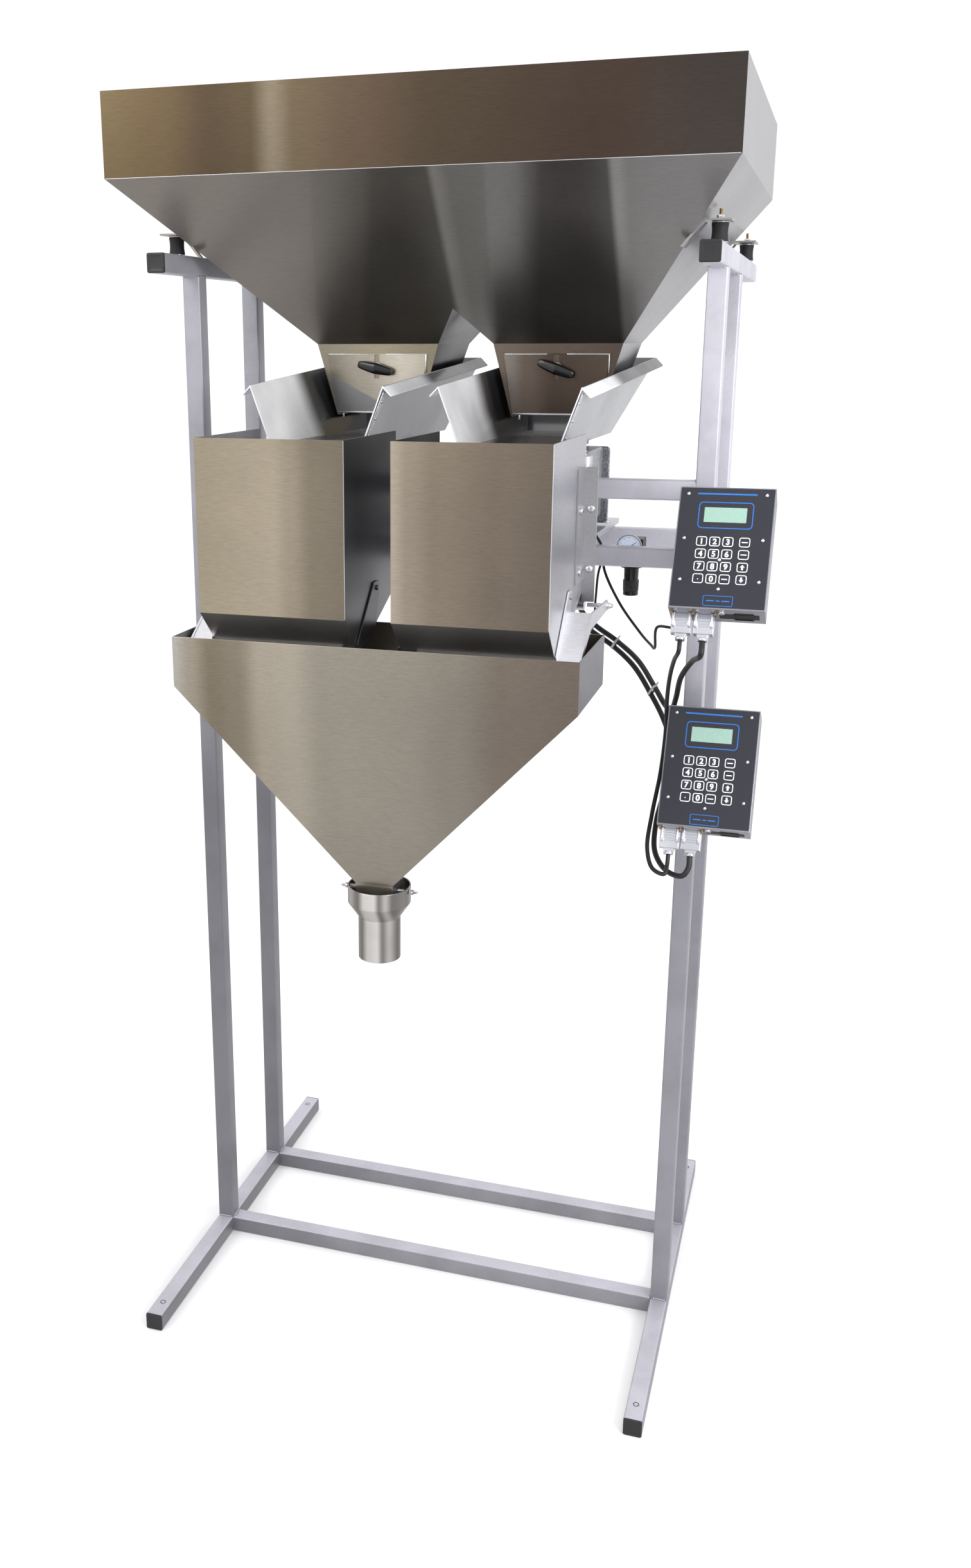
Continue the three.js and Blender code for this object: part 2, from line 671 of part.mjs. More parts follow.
function buildChute() {
  place("discharge_chute", cut(chuteBody(0), chuteBody(SHEET)), stainless);

  // Two straps from the lower front rail carry the chute by a strip along its back.
  const h = CHUTE_HANGER;
  const stripFront = CHUTE.back + GAP;
  const strip = box(-h.halfWidth, h.halfWidth, stripFront, stripFront + h.thickness, h.bottom, h.top);
  const railFace = -POST_Y - HALF_TUBE - GAP;
  const strapTop = LOWER_RAIL_TOP - 3;
  const straps = [-1, 1].map((sign) =>
    sideProfile(
      [
        [stripFront + 1, h.bottom + 14],
        [stripFront + 1, h.bottom + 28],
        [railFace - h.strapThickness, strapTop - 40],
        [railFace - h.strapThickness, strapTop],
        [railFace, strapTop],
        [railFace, strapTop - 46],
        [stripFront + 10, h.bottom + 14],
      ],
      sign * h.strapInner,
      sign * (h.halfWidth - 2),
    ),
  );
  place("chute_hanger", join(strip, ...straps), powderCoat);
}

function buildSpout() {
  const s = SPOUT;
  const t = THUMBSCREW;
  const outline = [
    [s.ring, s.top],
    [s.ring, s.ringBottom],
    [s.tube, s.tubeTop],
    [s.tube, s.bottom],
    [s.tube - SHEET, s.bottom],
    [s.tube - SHEET, s.tubeTop + 1],
    [s.ring - SHEET, s.ringBottom + 1],
    [s.ring - SHEET, s.top],
    [s.ring, s.top],
  ];
  const lathe = new THREE.LatheGeometry(outline.map(([r, z]) => new THREE.Vector2(r, z)).reverse(), 48);
  lathe.rotateX(Math.PI / 2).translate(0, s.y, 0);
  const screwZ = s.top - t.drop;
  const beyond = s.ring + 20;
  const hole = rod([-beyond, s.y, screwZ], [beyond, s.y, screwZ], t.hole, t.hole, 16);
  place("spout", cut(solidOf(lathe), hole), stainless);

  for (const [side, sign] of SIDES) {
    const at = (x, z = screwZ) => [sign * x, s.y, z];
    const shaft = rod(at(CHUTE.tipHalf + GAP), at(s.ring + t.reach / 2), t.shaft, t.shaft, 16);
    const collar = rod(at(s.ring + GAP), at(s.ring + 3), t.collar, t.collar, 16);
    const earX = s.ring + t.reach;
    const ear = rod(at(earX, screwZ - t.earHalf), at(earX, screwZ + t.earHalf), t.ear, t.ear, 20);
    place(`thumbscrew_${side}`, join(shaft, collar, ear), stainless);
  }
}

// ---- air regulator ---------------------------------------------------------
function buildRegulator() {
  const r = REGULATOR;
  const { x, y } = r;
  const railBack = -POST_Y + HALF_TUBE + GAP;
  const half = r.halfBlock;
  const block = box(x - half, x + half, y - half, y + half, r.bottom, r.top);
  const bonnet = rod([x, y, r.bonnetBottom], [x, y, r.bottom + 1], r.bonnet);
  const blockFront = y - half;
  const socketZ = GAUGE.z - GAUGE.drop;
  const socketEnd = blockFront - GAUGE.socketLength;
  const socket = rod([x, socketEnd, socketZ], [x, blockFront + SHEET, socketZ], GAUGE.socketRadius);
  const lugX = [x + REGULATOR_LUG.left, x + REGULATOR_LUG.right];
  const lug = box(...lugX, railBack, y - 5, r.bottom, r.bottom + REGULATOR_LUG.thickness);
  const leg = box(...lugX, railBack, railBack + REGULATOR_LUG.legThickness, r.bottom, REGULATOR_LUG.legTop);
  place("regulator_body", join(block, bonnet, socket, lug, leg), blackPlastic);

  const { bottom, bottomRadius, topRadius } = REGULATOR_KNOB;
  const knob = rod([x, y, bottom], [x, y, r.bonnetBottom - GAP], bottomRadius, topRadius, 28);
  place("regulator_knob", knob, blackPlastic);

  const gaugeBack = socketEnd - GAP;
  const gaugeAt = (offset) => [x, gaugeBack + offset, GAUGE.z - 1];
  place("pressure_gauge", rod(gaugeAt(-GAUGE.depth), gaugeAt(0), GAUGE.radius, GAUGE.radius, 32), dial);
}

// ---- weight controllers ----------------------------------------------------
// Local frame of a controller: x across, y up its face, z out of its face.
function controllerFrame(bottomZ) {
  const group = new THREE.Group();
  group.position.set(CONTROLLER.left, CONTROLLER.faceY, bottomZ);
  group.rotation.x = Math.PI / 2 - THREE.MathUtils.degToRad(CONTROLLER.tilt);
  filler.add(group);
  return group;
}

// One leg on the casing's back, bent to a leg on the front of the post.
function controllerBracket() {
  const { depth, tilt } = CONTROLLER;
  const b = CONTROLLER_BRACKET;
  const lean = THREE.MathUtils.degToRad(tilt);
  const postLeft = POST_X - HALF_TUBE - CONTROLLER.left;
  const postFace = -POST_Y - HALF_TUBE - GAP - CONTROLLER.faceY;
  const local = (y, z) => [
    y * Math.sin(lean) + z * Math.cos(lean),
    z * Math.sin(lean) - y * Math.cos(lean),
  ];
  return sideProfile(
    [
      local(postFace, b.bottom),
      local(postFace, b.top),
      [b.caseTop, 1 - depth],
      [b.caseBottom, 1 - depth],
      [b.caseBottom, -depth - b.thickness],
      [b.caseTop - b.slant, -depth - b.thickness],
      local(postFace - 3, b.top - b.slant),
      local(postFace - 3, b.bottom),
    ],
    postLeft,
    postLeft + TUBE,
  );
}

function controllerConnector(left) {
  const c = CONNECTOR;
  const start = left + c.inset;
  const end = left + PORT.width - c.inset;
  const shell = box(start, end, -c.height, PORT.depth - GAP, c.back, c.front);
  const neck = hull([
    ...[c.back + c.neckTaper, c.front - c.neckTaper].flatMap((z) => [
      [start + c.waist, 1 - c.height, z],
      [end - c.waist, 1 - c.height, z],
    ]),
    ...[c.back + c.neckTaper + 1, c.front - c.neckTaper - 1].flatMap((z) => [
      [start + c.neck, c.neckEnd, z],
      [end - c.neck, c.neckEnd, z],
    ]),
  ]);
  return join(shell, neck);
}

function buildControllers() {
  const { width, height, depth } = CONTROLLER;
  const inlet = POWER_INLET;
  for (const [level, bottomZ] of Object.entries(CONTROLLER_Z)) {
    const group = controllerFrame(bottomZ);
    const recess = box(inlet.left, inlet.right, -1, inlet.depth, inlet.back, inlet.front);
    const ports = PORT.lefts.map((left) =>
      box(left, left + PORT.width, -1, PORT.depth, PORT.back, PORT.front),
    );
    const body = cut(box(0, width, 0, height, -depth, 0), recess, ...ports);
    place(`controller_${level}`, join(body, controllerBracket()), casing, group);
    PORT.lefts.forEach((left, index) => {
      place(`connector_${level}_${index + 1}`, controllerConnector(left), hood, group);
    });
  }
}

// ---- cables and the air hose -----------------------------------------------
// A point near a controller, given in that controller's own frame.
function nearController(level, x, up, out) {
  const lean = THREE.MathUtils.degToRad(CONTROLLER.tilt);
  return [
    CONTROLLER.left + x,
    CONTROLLER.faceY + up * Math.sin(lean) - out * Math.cos(lean),
    CONTROLLER_Z[level] + up * Math.cos(lean) + out * Math.sin(lean),
  ];
}

function cable(name, points, diameter) {
  const knots = points.map((point) => new THREE.Vector3(...point));
  const curve = new THREE.CatmullRomCurve3(knots, false, "centripetal");
  const section = new THREE.Shape();
  const sides = 8;
  for (let side = 0; side < sides; side += 1) {
    const angle = (2 * Math.PI * side) / sides;
    const [x, y] = [(Math.cos(angle) * diameter) / 2, (Math.sin(angle) * diameter) / 2];
    if (side === 0) section.moveTo(x, y);
    else section.lineTo(x, y);
  }
  const steps = Math.ceil(curve.getLength() / (2.8 * diameter));
  const tube = new THREE.ExtrudeGeometry(section, { steps, extrudePath: curve, bevelEnabled: false });
  place(name, solidOf(tube), rubber);
}

function buildCables() {
  const plugEnd = CONNECTOR.neckEnd - GAP;
  const underPlate = LOWER_RAIL_TOP;
  cable(
    "cable_scale",
    [
      [225 + GAP, -203, 1495],
      [242, -203, 1495],
      [262, -160, 1474],
      [268, -127, 1460],
      [277, -98, 1430],
      [279, -95, 1400],
      [310, -120, 1349],
      [352, -160, 1308],
      [378, -215, 1299],
      [390, -255, 1303],
      nearController("upper", -16, -22, -33),
      nearController("upper", 4.5 - GAP, -22, -33),
    ],
    4.5,
  );
  cable(
    "air_hose",
    [
      [REGULATOR.x - 20 - GAP, REGULATOR.y, 1432],
      [284, -68, 1430],
      [270, -84, 1400],
      [266, -90, 1350],
      [268, -115, 1306],
      [263, -160, 1300],
      [262, -200, 1340],
      [266, -214, 1420],
      [CRANK_PIN.x, -212, 1465],
      [CRANK_PIN.x, -222, 1480],
      [CRANK_PIN.x, CRANK_PIN.y + 11 + GAP, 1480],
    ],
    4,
  );
  cable(
    "cable_upper",
    [
      [214, -62, underPlate],
      [214, -62, 1412],
      [234, -62, 1326],
      [262, -67, 1298],
      [303, -78, 1274],
      [343, -93, 1245],
      [375, -107, 1204],
      [396, -124, 1178],
      [410, -152, 1178],
      [418, -172, 1202],
      [428, -206, 1246],
      [448, -246, 1282],
      nearController("upper", 54, -62, -33),
      nearController("upper", 54, plugEnd, -33),
    ],
    9,
  );
  cable(
    "cable_lower",
    [
      [196, -62, underPlate],
      [196, -62, 1408],
      [220, -60, 1312],
      [256, -60, 1285],
      [296, -68, 1262],
      [335, -82, 1232],
      [367, -96, 1190],
      [394, -116, 1150],
      [414, -152, 1108],
      [410, -190, 1050],
      [402, -218, 1002],
      [406, -252, 962],
      [430, -284, 942],
      [458, -304, 944],
      nearController("lower", 54, -60, -33),
      nearController("lower", 54, plugEnd, -33),
    ],
    9,
  );
  cable(
    "cable_link",
    [
      nearController("upper", 20, plugEnd, -33),
      nearController("upper", 20, -58, -33),
      [422, -262, 1286],
      [412, -220, 1250],
      [406, -190, 1206],
      [405, -178, 1144],
      [403, -204, 1082],
      [397, -240, 1022],
      [396, -274, 974],
      [410, -303, 950],
      [430, -313, 947],
      nearController("lower", 20, -58, -33),
      nearController("lower", 20, plugEnd, -33),
    ],
    7,
  );
}

buildFrame();
buildHopper();
buildGates();
buildFeeders();
for (const [side, sign] of SIDES) {
  buildBucketBody(side, sign);
  buildBucketDoor(side, sign);
}
buildActuators();
buildLoadCells();
buildChute();
buildSpout();
buildRegulator();
buildControllers();
buildCables();

export default filler;
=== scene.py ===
"""Looks of a twin-head vibratory net weigh filler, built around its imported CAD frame."""

import math
import random

import bmesh
import bpy
from mathutils import Euler, Matrix, Vector


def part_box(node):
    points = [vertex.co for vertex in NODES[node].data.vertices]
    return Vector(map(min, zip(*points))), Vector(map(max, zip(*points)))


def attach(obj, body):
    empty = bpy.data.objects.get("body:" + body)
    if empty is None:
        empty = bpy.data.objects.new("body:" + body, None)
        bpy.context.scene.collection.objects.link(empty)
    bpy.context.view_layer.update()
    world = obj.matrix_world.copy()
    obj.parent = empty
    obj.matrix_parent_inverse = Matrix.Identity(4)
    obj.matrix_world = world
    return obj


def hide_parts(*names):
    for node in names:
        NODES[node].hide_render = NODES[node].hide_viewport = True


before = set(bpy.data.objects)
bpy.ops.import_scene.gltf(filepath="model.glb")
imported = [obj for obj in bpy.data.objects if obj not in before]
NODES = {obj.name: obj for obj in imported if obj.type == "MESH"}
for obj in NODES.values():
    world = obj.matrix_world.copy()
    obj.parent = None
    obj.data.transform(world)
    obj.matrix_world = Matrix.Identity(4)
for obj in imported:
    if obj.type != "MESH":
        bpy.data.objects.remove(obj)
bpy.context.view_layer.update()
MM = 0.001
SIDES = (("left", -1), ("right", 1))


def middle(node):
    low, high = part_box(node)
    return (low + high) / 2


# ---- places ------------------------------------------------------------------
FRAME_X = (middle("post_front_left").x + middle("post_front_right").x) / 2
FRAME_Y = (middle("post_front_left").y + middle("post_back_left").y) / 2


def at(x, y, z):
    """A point given in millimetres from the middle of the four posts, at floor level."""
    return Vector((FRAME_X + x * MM, FRAME_Y + y * MM, z * MM))


TUBE = (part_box("foot_left")[1].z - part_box("foot_left")[0].z) / MM
HALF_TUBE = TUBE / 2
POST_X = 443.5
POST_Y = 127
POST_TOP = 1878
HOPPER_FOLD = 2015  # where the hopper's band meets its slope
HOPPER_FRONT = -350.1
OUTLET_TOP = 1766
GAP_BETWEEN_HEADS = 60  # half of it, either side of the middle
RAIL_FACE = -149.2
BUCKET_BACK = -260
BUCKET_SIDE = 272.3  # the buckets' fronts end here, either side of the middle
PANEL_WIDTH = 145
PANEL_HEIGHT = 198
PANEL_TILT = math.radians(28)
CORD_PLANE = -33  # how far behind a controller's face its cables leave it
RAILS = ("floor_rail_front", "floor_rail_back", "upper_rail_front", "lower_rail_front", "lower_rail_back")


def panel_matrix(level):
    """A controller's own frame: x across its face, y up it and z out of it, in metres."""
    low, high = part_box(f"controller_{level}")
    origin = Vector((low.x, low.y, high.z - PANEL_HEIGHT * MM * math.cos(PANEL_TILT)))
    return Matrix.Translation(origin) @ Matrix.Rotation(math.pi / 2 - PANEL_TILT, 4, "X")


def on_panel(level, x, up, out):
    return panel_matrix(level) @ Vector((x * MM, up * MM, out * MM))


# ---- camera --------------------------------------------------------------------
CAMERA_PLACE = (0.6285, -2.4500, 1.7625)
CAMERA_ANGLES = (74.24, 0.15, 17.88)  # degrees about X, Y and Z
CAMERA_LENS = 32.64
CAMERA_SHIFT = (0.0636, -0.0235)


def make_camera():
    data = bpy.data.cameras.new("camera")
    data.lens = CAMERA_LENS
    data.sensor_width = 36
    data.shift_x, data.shift_y = CAMERA_SHIFT
    data.clip_end = 50
    camera = bpy.data.objects.new("camera", data)
    camera.location = CAMERA_PLACE
    camera.rotation_euler = Euler([math.radians(angle) for angle in CAMERA_ANGLES])
    bpy.context.scene.collection.objects.link(camera)
    bpy.context.scene.camera = camera


make_camera()


# ---- materials -----------------------------------------------------------------
def linear(red, green, blue):
    """A display colour, 0 to 255 a channel, as the linear RGBA that a socket takes."""
    channels = []
    for value in (red, green, blue):
        share = value / 255
        channels.append(share / 12.92 if share <= 0.04045 else ((share + 0.055) / 1.055) ** 2.4)
    return (*channels, 1.0)


class Shader:
    """A node material with one Principled surface, built up call by call."""

    def __init__(self, name, **surface):
        self.material = bpy.data.materials.new(name)
        self.material.use_nodes = True
        self.tree = self.material.node_tree
        self.tree.nodes.clear()
        self.surface = self.tree.nodes.new("ShaderNodeBsdfPrincipled")
        output = self.tree.nodes.new("ShaderNodeOutputMaterial")
        self.tree.links.new(self.surface.outputs["BSDF"], output.inputs["Surface"])
        for socket, value in surface.items():
            self.surface.inputs[socket.replace("_", " ")].default_value = value
        self.coords = self.tree.nodes.new("ShaderNodeTexCoord")
        self.point = self.coords.outputs["Object"]

    def put(self, socket, value):
        if isinstance(value, bpy.types.NodeSocket):
            self.tree.links.new(value, socket)
        else:
            socket.default_value = value

    def math(self, operation, *values):
        node = self.tree.nodes.new("ShaderNodeMath")
        node.operation = operation
        for socket, value in zip(node.inputs, values):
            self.put(socket, value)
        return node.outputs[0]

    def part(self, vector, axis):
        node = self.tree.nodes.new("ShaderNodeSeparateXYZ")
        self.put(node.inputs[0], vector)
        return node.outputs[axis]

    def stretched(self, scale):
        node = self.tree.nodes.new("ShaderNodeVectorMath")
        node.operation = "MULTIPLY"
        self.put(node.inputs[0], self.point)
        node.inputs[1].default_value = scale
        return node.outputs[0]

    def noise(self, vector, scale, detail=3.0, roughness=0.5):
        node = self.tree.nodes.new("ShaderNodeTexNoise")
        self.put(node.inputs["Vector"], vector)
        node.inputs["Scale"].default_value = scale
        node.inputs["Detail"].default_value = detail
        node.inputs["Roughness"].default_value = roughness
        return node.outputs["Fac"]

    def cells(self, scale):
        node = self.tree.nodes.new("ShaderNodeTexVoronoi")
        self.put(node.inputs["Vector"], self.point)
        node.inputs["Scale"].default_value = scale
        return node.outputs["Distance"]

    def blend(self, factor, first, second, mode="MIX"):
        node = self.tree.nodes.new("ShaderNodeMix")
        node.data_type = "RGBA"
        node.blend_type = mode
        self.put(node.inputs[0], factor)
        self.put(node.inputs[6], first)
        self.put(node.inputs[7], second)
        return node.outputs[2]

    def remap(self, value, low, high, to_low=0.0, to_high=1.0, smooth=True):
        node = self.tree.nodes.new("ShaderNodeMapRange")
        node.interpolation_type = "SMOOTHSTEP" if smooth else "LINEAR"
        self.put(node.inputs["Value"], value)
        for socket, number in zip(("From Min", "From Max", "To Min", "To Max"), (low, high, to_low, to_high)):
            node.inputs[socket].default_value = number
        return node.outputs[0]

    def ramp(self, factor, stops, interpolation="EASE"):
        node = self.tree.nodes.new("ShaderNodeValToRGB")
        node.color_ramp.interpolation = interpolation
        elements = node.color_ramp.elements
        while len(elements) < len(stops):
            elements.new(0.5)
        for element, (place, color) in zip(elements, stops):
            element.position = place
            element.color = color
        self.put(node.inputs[0], factor)
        return node.outputs["Color"]

    def relief(self, height, strength, distance):
        node = self.tree.nodes.new("ShaderNodeBump")
        node.inputs["Strength"].default_value = strength
        node.inputs["Distance"].default_value = distance
        self.put(node.inputs["Height"], height)
        self.put(self.surface.inputs["Normal"], node.outputs["Normal"])


def grain(shader):
    """Brushing lines: along Y on faces that look sideways, along X on all others."""
    sideways = shader.math("ABSOLUTE", shader.part(shader.coords.outputs["Normal"], 0))
    is_side = shader.math("GREATER_THAN", sideways, 0.65)
    along_x = shader.noise(shader.stretched((60, 1500, 1500)), 1.0, 3.0, 0.6)
    along_y = shader.noise(shader.stretched((1500, 60, 1500)), 1.0, 3.0, 0.6)
    return shader.blend(is_side, along_x, along_y)


def brushed(name, color, roughness=0.34, paint_light_and_shade=None, mottle=0.2):
    """Brushed sheet. The optional colour function takes the shader and its plain colour and gives the colour
    it shows, with reflections and shade painted in.
    """
    shader = Shader(name, Metallic=0.92, Roughness=roughness, Anisotropic=0.35)
    fine = grain(shader)
    base = paint_light_and_shade(shader, linear(*color)) if paint_light_and_shade else linear(*color)
    cloud = shader.noise(shader.point, 4.0, 2.0, 0.5)
    clouds = shader.ramp(cloud, [(0.35, linear(200, 199, 198)), (0.65, linear(255, 255, 255))])
    cloudy = shader.blend(mottle, base, clouds, "MULTIPLY")
    streaks = shader.ramp(fine, [(0.3, linear(205, 204, 203)), (0.65, linear(255, 255, 255))])
    speck = shader.noise(shader.point, 900.0, 2.0, 0.6)
    specks = shader.ramp(speck, [(0.3, linear(215, 215, 215)), (0.6, linear(255, 255, 255))])
    lined = shader.blend(0.4, cloudy, streaks, "MULTIPLY")
    shader.put(shader.surface.inputs["Base Color"], shader.blend(0.3, lined, specks, "MULTIPLY"))
    smooth_range = shader.remap(cloud, 0.3, 0.7, roughness - 0.05, roughness + 0.06)
    shader.put(shader.surface.inputs["Roughness"], smooth_range)
    shader.relief(fine, 0.1, 0.0001)
    return shader.material


def facing(shader, axis, sign, low=0.35, high=0.6):
    """1 where the surface looks along that axis, 0 where it doesn't."""
    component = shader.part(shader.coords.outputs["Normal"], axis)
    return shader.remap(shader.math("MULTIPLY", component, sign), low, high)


def across(shader, stops):
    """A colour that changes across X; each stop is (millimetres from the middle, display colour)."""
    first, last = stops[0][0], stops[-1][0]
    low, high = at(first, 0, 0).x, at(last, 0, 0).x
    share = shader.remap(shader.part(shader.point, 0), low, high, smooth=False)
    return shader.ramp(share, [((x - first) / (last - first), linear(*color)) for x, color in stops])


def off_middle(shader):
    """How far a point is from the middle, to either side."""
    return shader.math("ABSOLUTE", shader.math("SUBTRACT", shader.part(shader.point, 0), at(0, 0, 0).x))


def hopper_painted_light(shader, plain):
    """Painted reflections and shade: the band, the slope with its bands of painted reflection, and the
    outlets each get colours of their own; the slope is painted darker towards the outlets, and faces looking
    +X get a plain light grey, with painted shade on the left outlet's lower part.
    """
    # Painted reflections across the band, from left to right.
    band = across(
        shader,
        [
            (-487, (134, 117, 88)),
            (-390, (127, 108, 82)),
            (-305, (104, 88, 70)),
            (-240, (112, 97, 76)),
            (-203, (160, 147, 126)),
            (-165, (134, 118, 95)),
            (-74, (124, 105, 87)),
            (60, (104, 90, 75)),
            (300, (98, 82, 73)),
            (487, (92, 84, 80)),
        ],
    )
    band = shader.blend(1.0, band, linear(198, 198, 198), "MULTIPLY")
    height = shader.part(shader.point, 2)
    top, bottom = at(0, 0, HOPPER_FOLD).z, at(0, 0, OUTLET_TOP).z
    drop = shader.remap(height, top, bottom, smooth=False)
    x = shader.part(shader.point, 0)

    def past(at_band, at_outlet, half_width):
        """0 left of the line from the band to the outlets, 1 right of it."""
        line = shader.math("MULTIPLY_ADD", drop, (at_outlet - at_band) * MM, at(at_band, 0, 0).x)
        offset = shader.math("SUBTRACT", x, line)
        return shader.remap(offset, -half_width * MM, half_width * MM)

    slope = linear(158, 151, 143)
    # Bands of painted reflection on the slope, each right of a line from the band down to the outlets.
    painted_reflection_bands = (
        (-143, -277, 6, (150, 144, 137)),
        (-52, -190, 14, (136, 131, 123)),
        (28, -60, 22, (134, 130, 122)),
        (40, -4, 7, (196, 192, 184)),
        (58, 14, 14, (166, 163, 157)),
        (124, 50, 5, (178, 175, 170)),
        (190, 112, 24, (132, 127, 123)),
        (285, 240, 14, (132, 128, 126)),
        (304, 277, 6, (206, 203, 199)),
        (322, 292, 10, (176, 173, 170)),
    )
    for at_band, at_outlet, half_width, color in painted_reflection_bands:
        slope = shader.blend(past(at_band, at_outlet, half_width), slope, linear(*color))
    # Painted shade: the slope darkens towards the outlets.
    lower = shader.remap(height, at(0, 0, 1950).z, bottom, 1.0, 0.9)
    slope = shader.blend(1.0, slope, lower, "MULTIPLY")
    # Painted reflections across the outlets.
    outlets = across(
        shader,
        [(-277, (150, 143, 128)), (-160, (168, 158, 136)), (-60, (148, 139, 120)), (50, (122, 110, 99)),
         (160, (104, 92, 82)), (277, (96, 84, 76))],
    )
    slope = shader.blend(shader.math("LESS_THAN", height, bottom), slope, outlets)
    front = shader.blend(shader.math("GREATER_THAN", height, top), slope, band)
    # Painted shade on the left outlet's faces looking +X, below 1840 mm.
    left_outlet = shader.math("LESS_THAN", x, at(20, 0, 0).x)
    below = shader.math("LESS_THAN", height, at(0, 0, 1840).z)
    in_painted_shade = shader.math("MULTIPLY", left_outlet, below)
    side = shader.blend(in_painted_shade, linear(186, 186, 188), linear(96, 95, 96))
    front = shader.blend(facing(shader, 0, 1), front, side)
    looks_out = shader.math("MAXIMUM", facing(shader, 1, -1, 0.2, 0.4), facing(shader, 0, 1))
    return shader.blend(looks_out, plain, front)


def gate_painted_sheen(shader, plain):
    """A painted warm sheen, with the pan's grey reflection painted across the left gate's lower corner."""
    front = across(
        shader,
        [(-262, (146, 138, 124)), (-190, (192, 183, 168)), (-120, (226, 218, 203)), (-60, (196, 187, 170)),
         (40, (160, 150, 142)), (75, (140, 132, 126)), (110, (112, 99, 90)), (160, (86, 74, 66)),
         (262, (96, 84, 74))],
    )
    x = shader.part(shader.point, 0)
    height = shader.part(shader.point, 2)
    # The pan's reflection, painted in grey over the left gate below a line that slopes down to the right.
    start = at(-250, 0, 1712)
    line = shader.math("MULTIPLY_ADD", x, -0.51, start.z + 0.51 * start.x)
    painted_below = shader.remap(shader.math("SUBTRACT", line, height), -0.002, 0.002)
    on_left = shader.math("LESS_THAN", x, at(0, 0, 0).x)
    grey = shader.blend(shader.math("MULTIPLY", painted_below, on_left), front, linear(158, 157, 158))
    return shader.blend(facing(shader, 1, -1), plain, grey)


def bucket_painted_light(shader, plain):
    # Painted reflections across the fronts, with a plain light grey below 1369 mm; on faces looking +X,
    # painted shade near the gap between the buckets and painted light further out.
    front = across(
        shader,
        [(-272, (178, 166, 144)), (-150, (184, 172, 152)), (-120, (168, 156, 137)), (-85, (142, 132, 116)),
         (-36, (136, 126, 110)), (36, (190, 178, 161)), (62, (166, 154, 138)), (105, (148, 136, 120)),
         (200, (130, 118, 106)), (272, (121, 110, 98))],
    )
    height = shader.part(shader.point, 2)
    painted_below = shader.math("LESS_THAN", height, at(0, 0, 1369).z)
    front = shader.blend(painted_below, front, linear(176, 172, 168))
    sideways = off_middle(shader)
    on_bucket = shader.math("LESS_THAN", sideways, BUCKET_SIDE * MM)
    front_facing = shader.math("MULTIPLY", facing(shader, 1, -1), on_bucket)
    # The painted shade grows darker towards the top.
    shaded = shader.ramp(
        shader.remap(height, at(0, 0, 1340).z, at(0, 0, 1632).z, smooth=False),
        [(0.1, linear(126, 126, 128)), (0.55, linear(92, 92, 94)), (0.9, linear(58, 58, 59))],
    )
    near_middle = shader.math("LESS_THAN", sideways, GAP_BETWEEN_HEADS * MM)
    side = shader.blend(near_middle, linear(204, 204, 208), shaded)
    outside = shader.blend(facing(shader, 0, 1), plain, side)
    return shader.blend(front_facing, outside, front)


def door_painted_shade(shader, plain):
    """Painted shade: the arm between the two buckets is painted darker."""
    near_middle = shader.math("LESS_THAN", off_middle(shader), GAP_BETWEEN_HEADS * MM)
    return shader.blend(near_middle, plain, linear(104, 104, 107))


def chute_painted_light(shader, plain):
    # Painted reflections across the front, blended partly into one even colour lower down; faces looking +X
    # get a darker painted grey.
    front = across(
        shader,
        [(-319, (196, 192, 184)), (-290, (174, 165, 149)), (-255, (144, 133, 115)), (-212, (152, 141, 125)),
         (-170, (186, 176, 160)), (-125, (190, 181, 165)), (-70, (170, 162, 149)), (60, (165, 157, 145)),
         (130, (154, 147, 135)), (210, (136, 125, 114)), (319, (128, 117, 107))],
    )
    height = shader.part(shader.point, 2)
    lighter = shader.remap(height, at(0, 0, 1180).z, at(0, 0, 960).z, 0.0, 0.35)
    front = shader.blend(lighter, front, linear(160, 154, 144))
    side = shader.blend(facing(shader, 0, 1), plain, linear(160, 160, 164))
    return shader.blend(facing(shader, 1, -1), side, front)


def pan_painted_light(shader, plain):
    """Painted light and shade: the inside walls keep their bright colour at the front and are painted dark
    behind, the outer walls are painted lighter on the left pan than on the right, and the floors are painted
    dark.
    """
    y = shader.part(shader.point, 1)
    behind = shader.remap(y, at(0, -115, 0).y, at(0, -35, 0).y)
    wall = shader.blend(behind, plain, linear(48, 49, 52))
    outside = facing(shader, 2, -1, 0.1, 0.25)
    x = shader.part(shader.point, 0)
    on_left = shader.math("LESS_THAN", x, at(20, 0, 0).x)
    outer = shader.blend(on_left, linear(150, 151, 154), linear(128, 128, 131))
    walls = shader.blend(outside, wall, outer)
    return shader.blend(facing(shader, 2, 1, 0.75, 0.9), walls, linear(74, 74, 77))


def spout_painted_reflections(shader, plain):
    """Painted reflections: upright light and dark streaks, as a turned tube reflects a room."""
    return across(
        shader,
        [(-51, (112, 108, 104)), (-36, (170, 164, 156)), (-22, (128, 123, 117)), (-8, (226, 222, 216)),
         (6, (236, 233, 230)), (15, (146, 142, 138)), (24, (200, 196, 192)), (34, (128, 124, 121)),
         (51, (150, 146, 142))],
    )


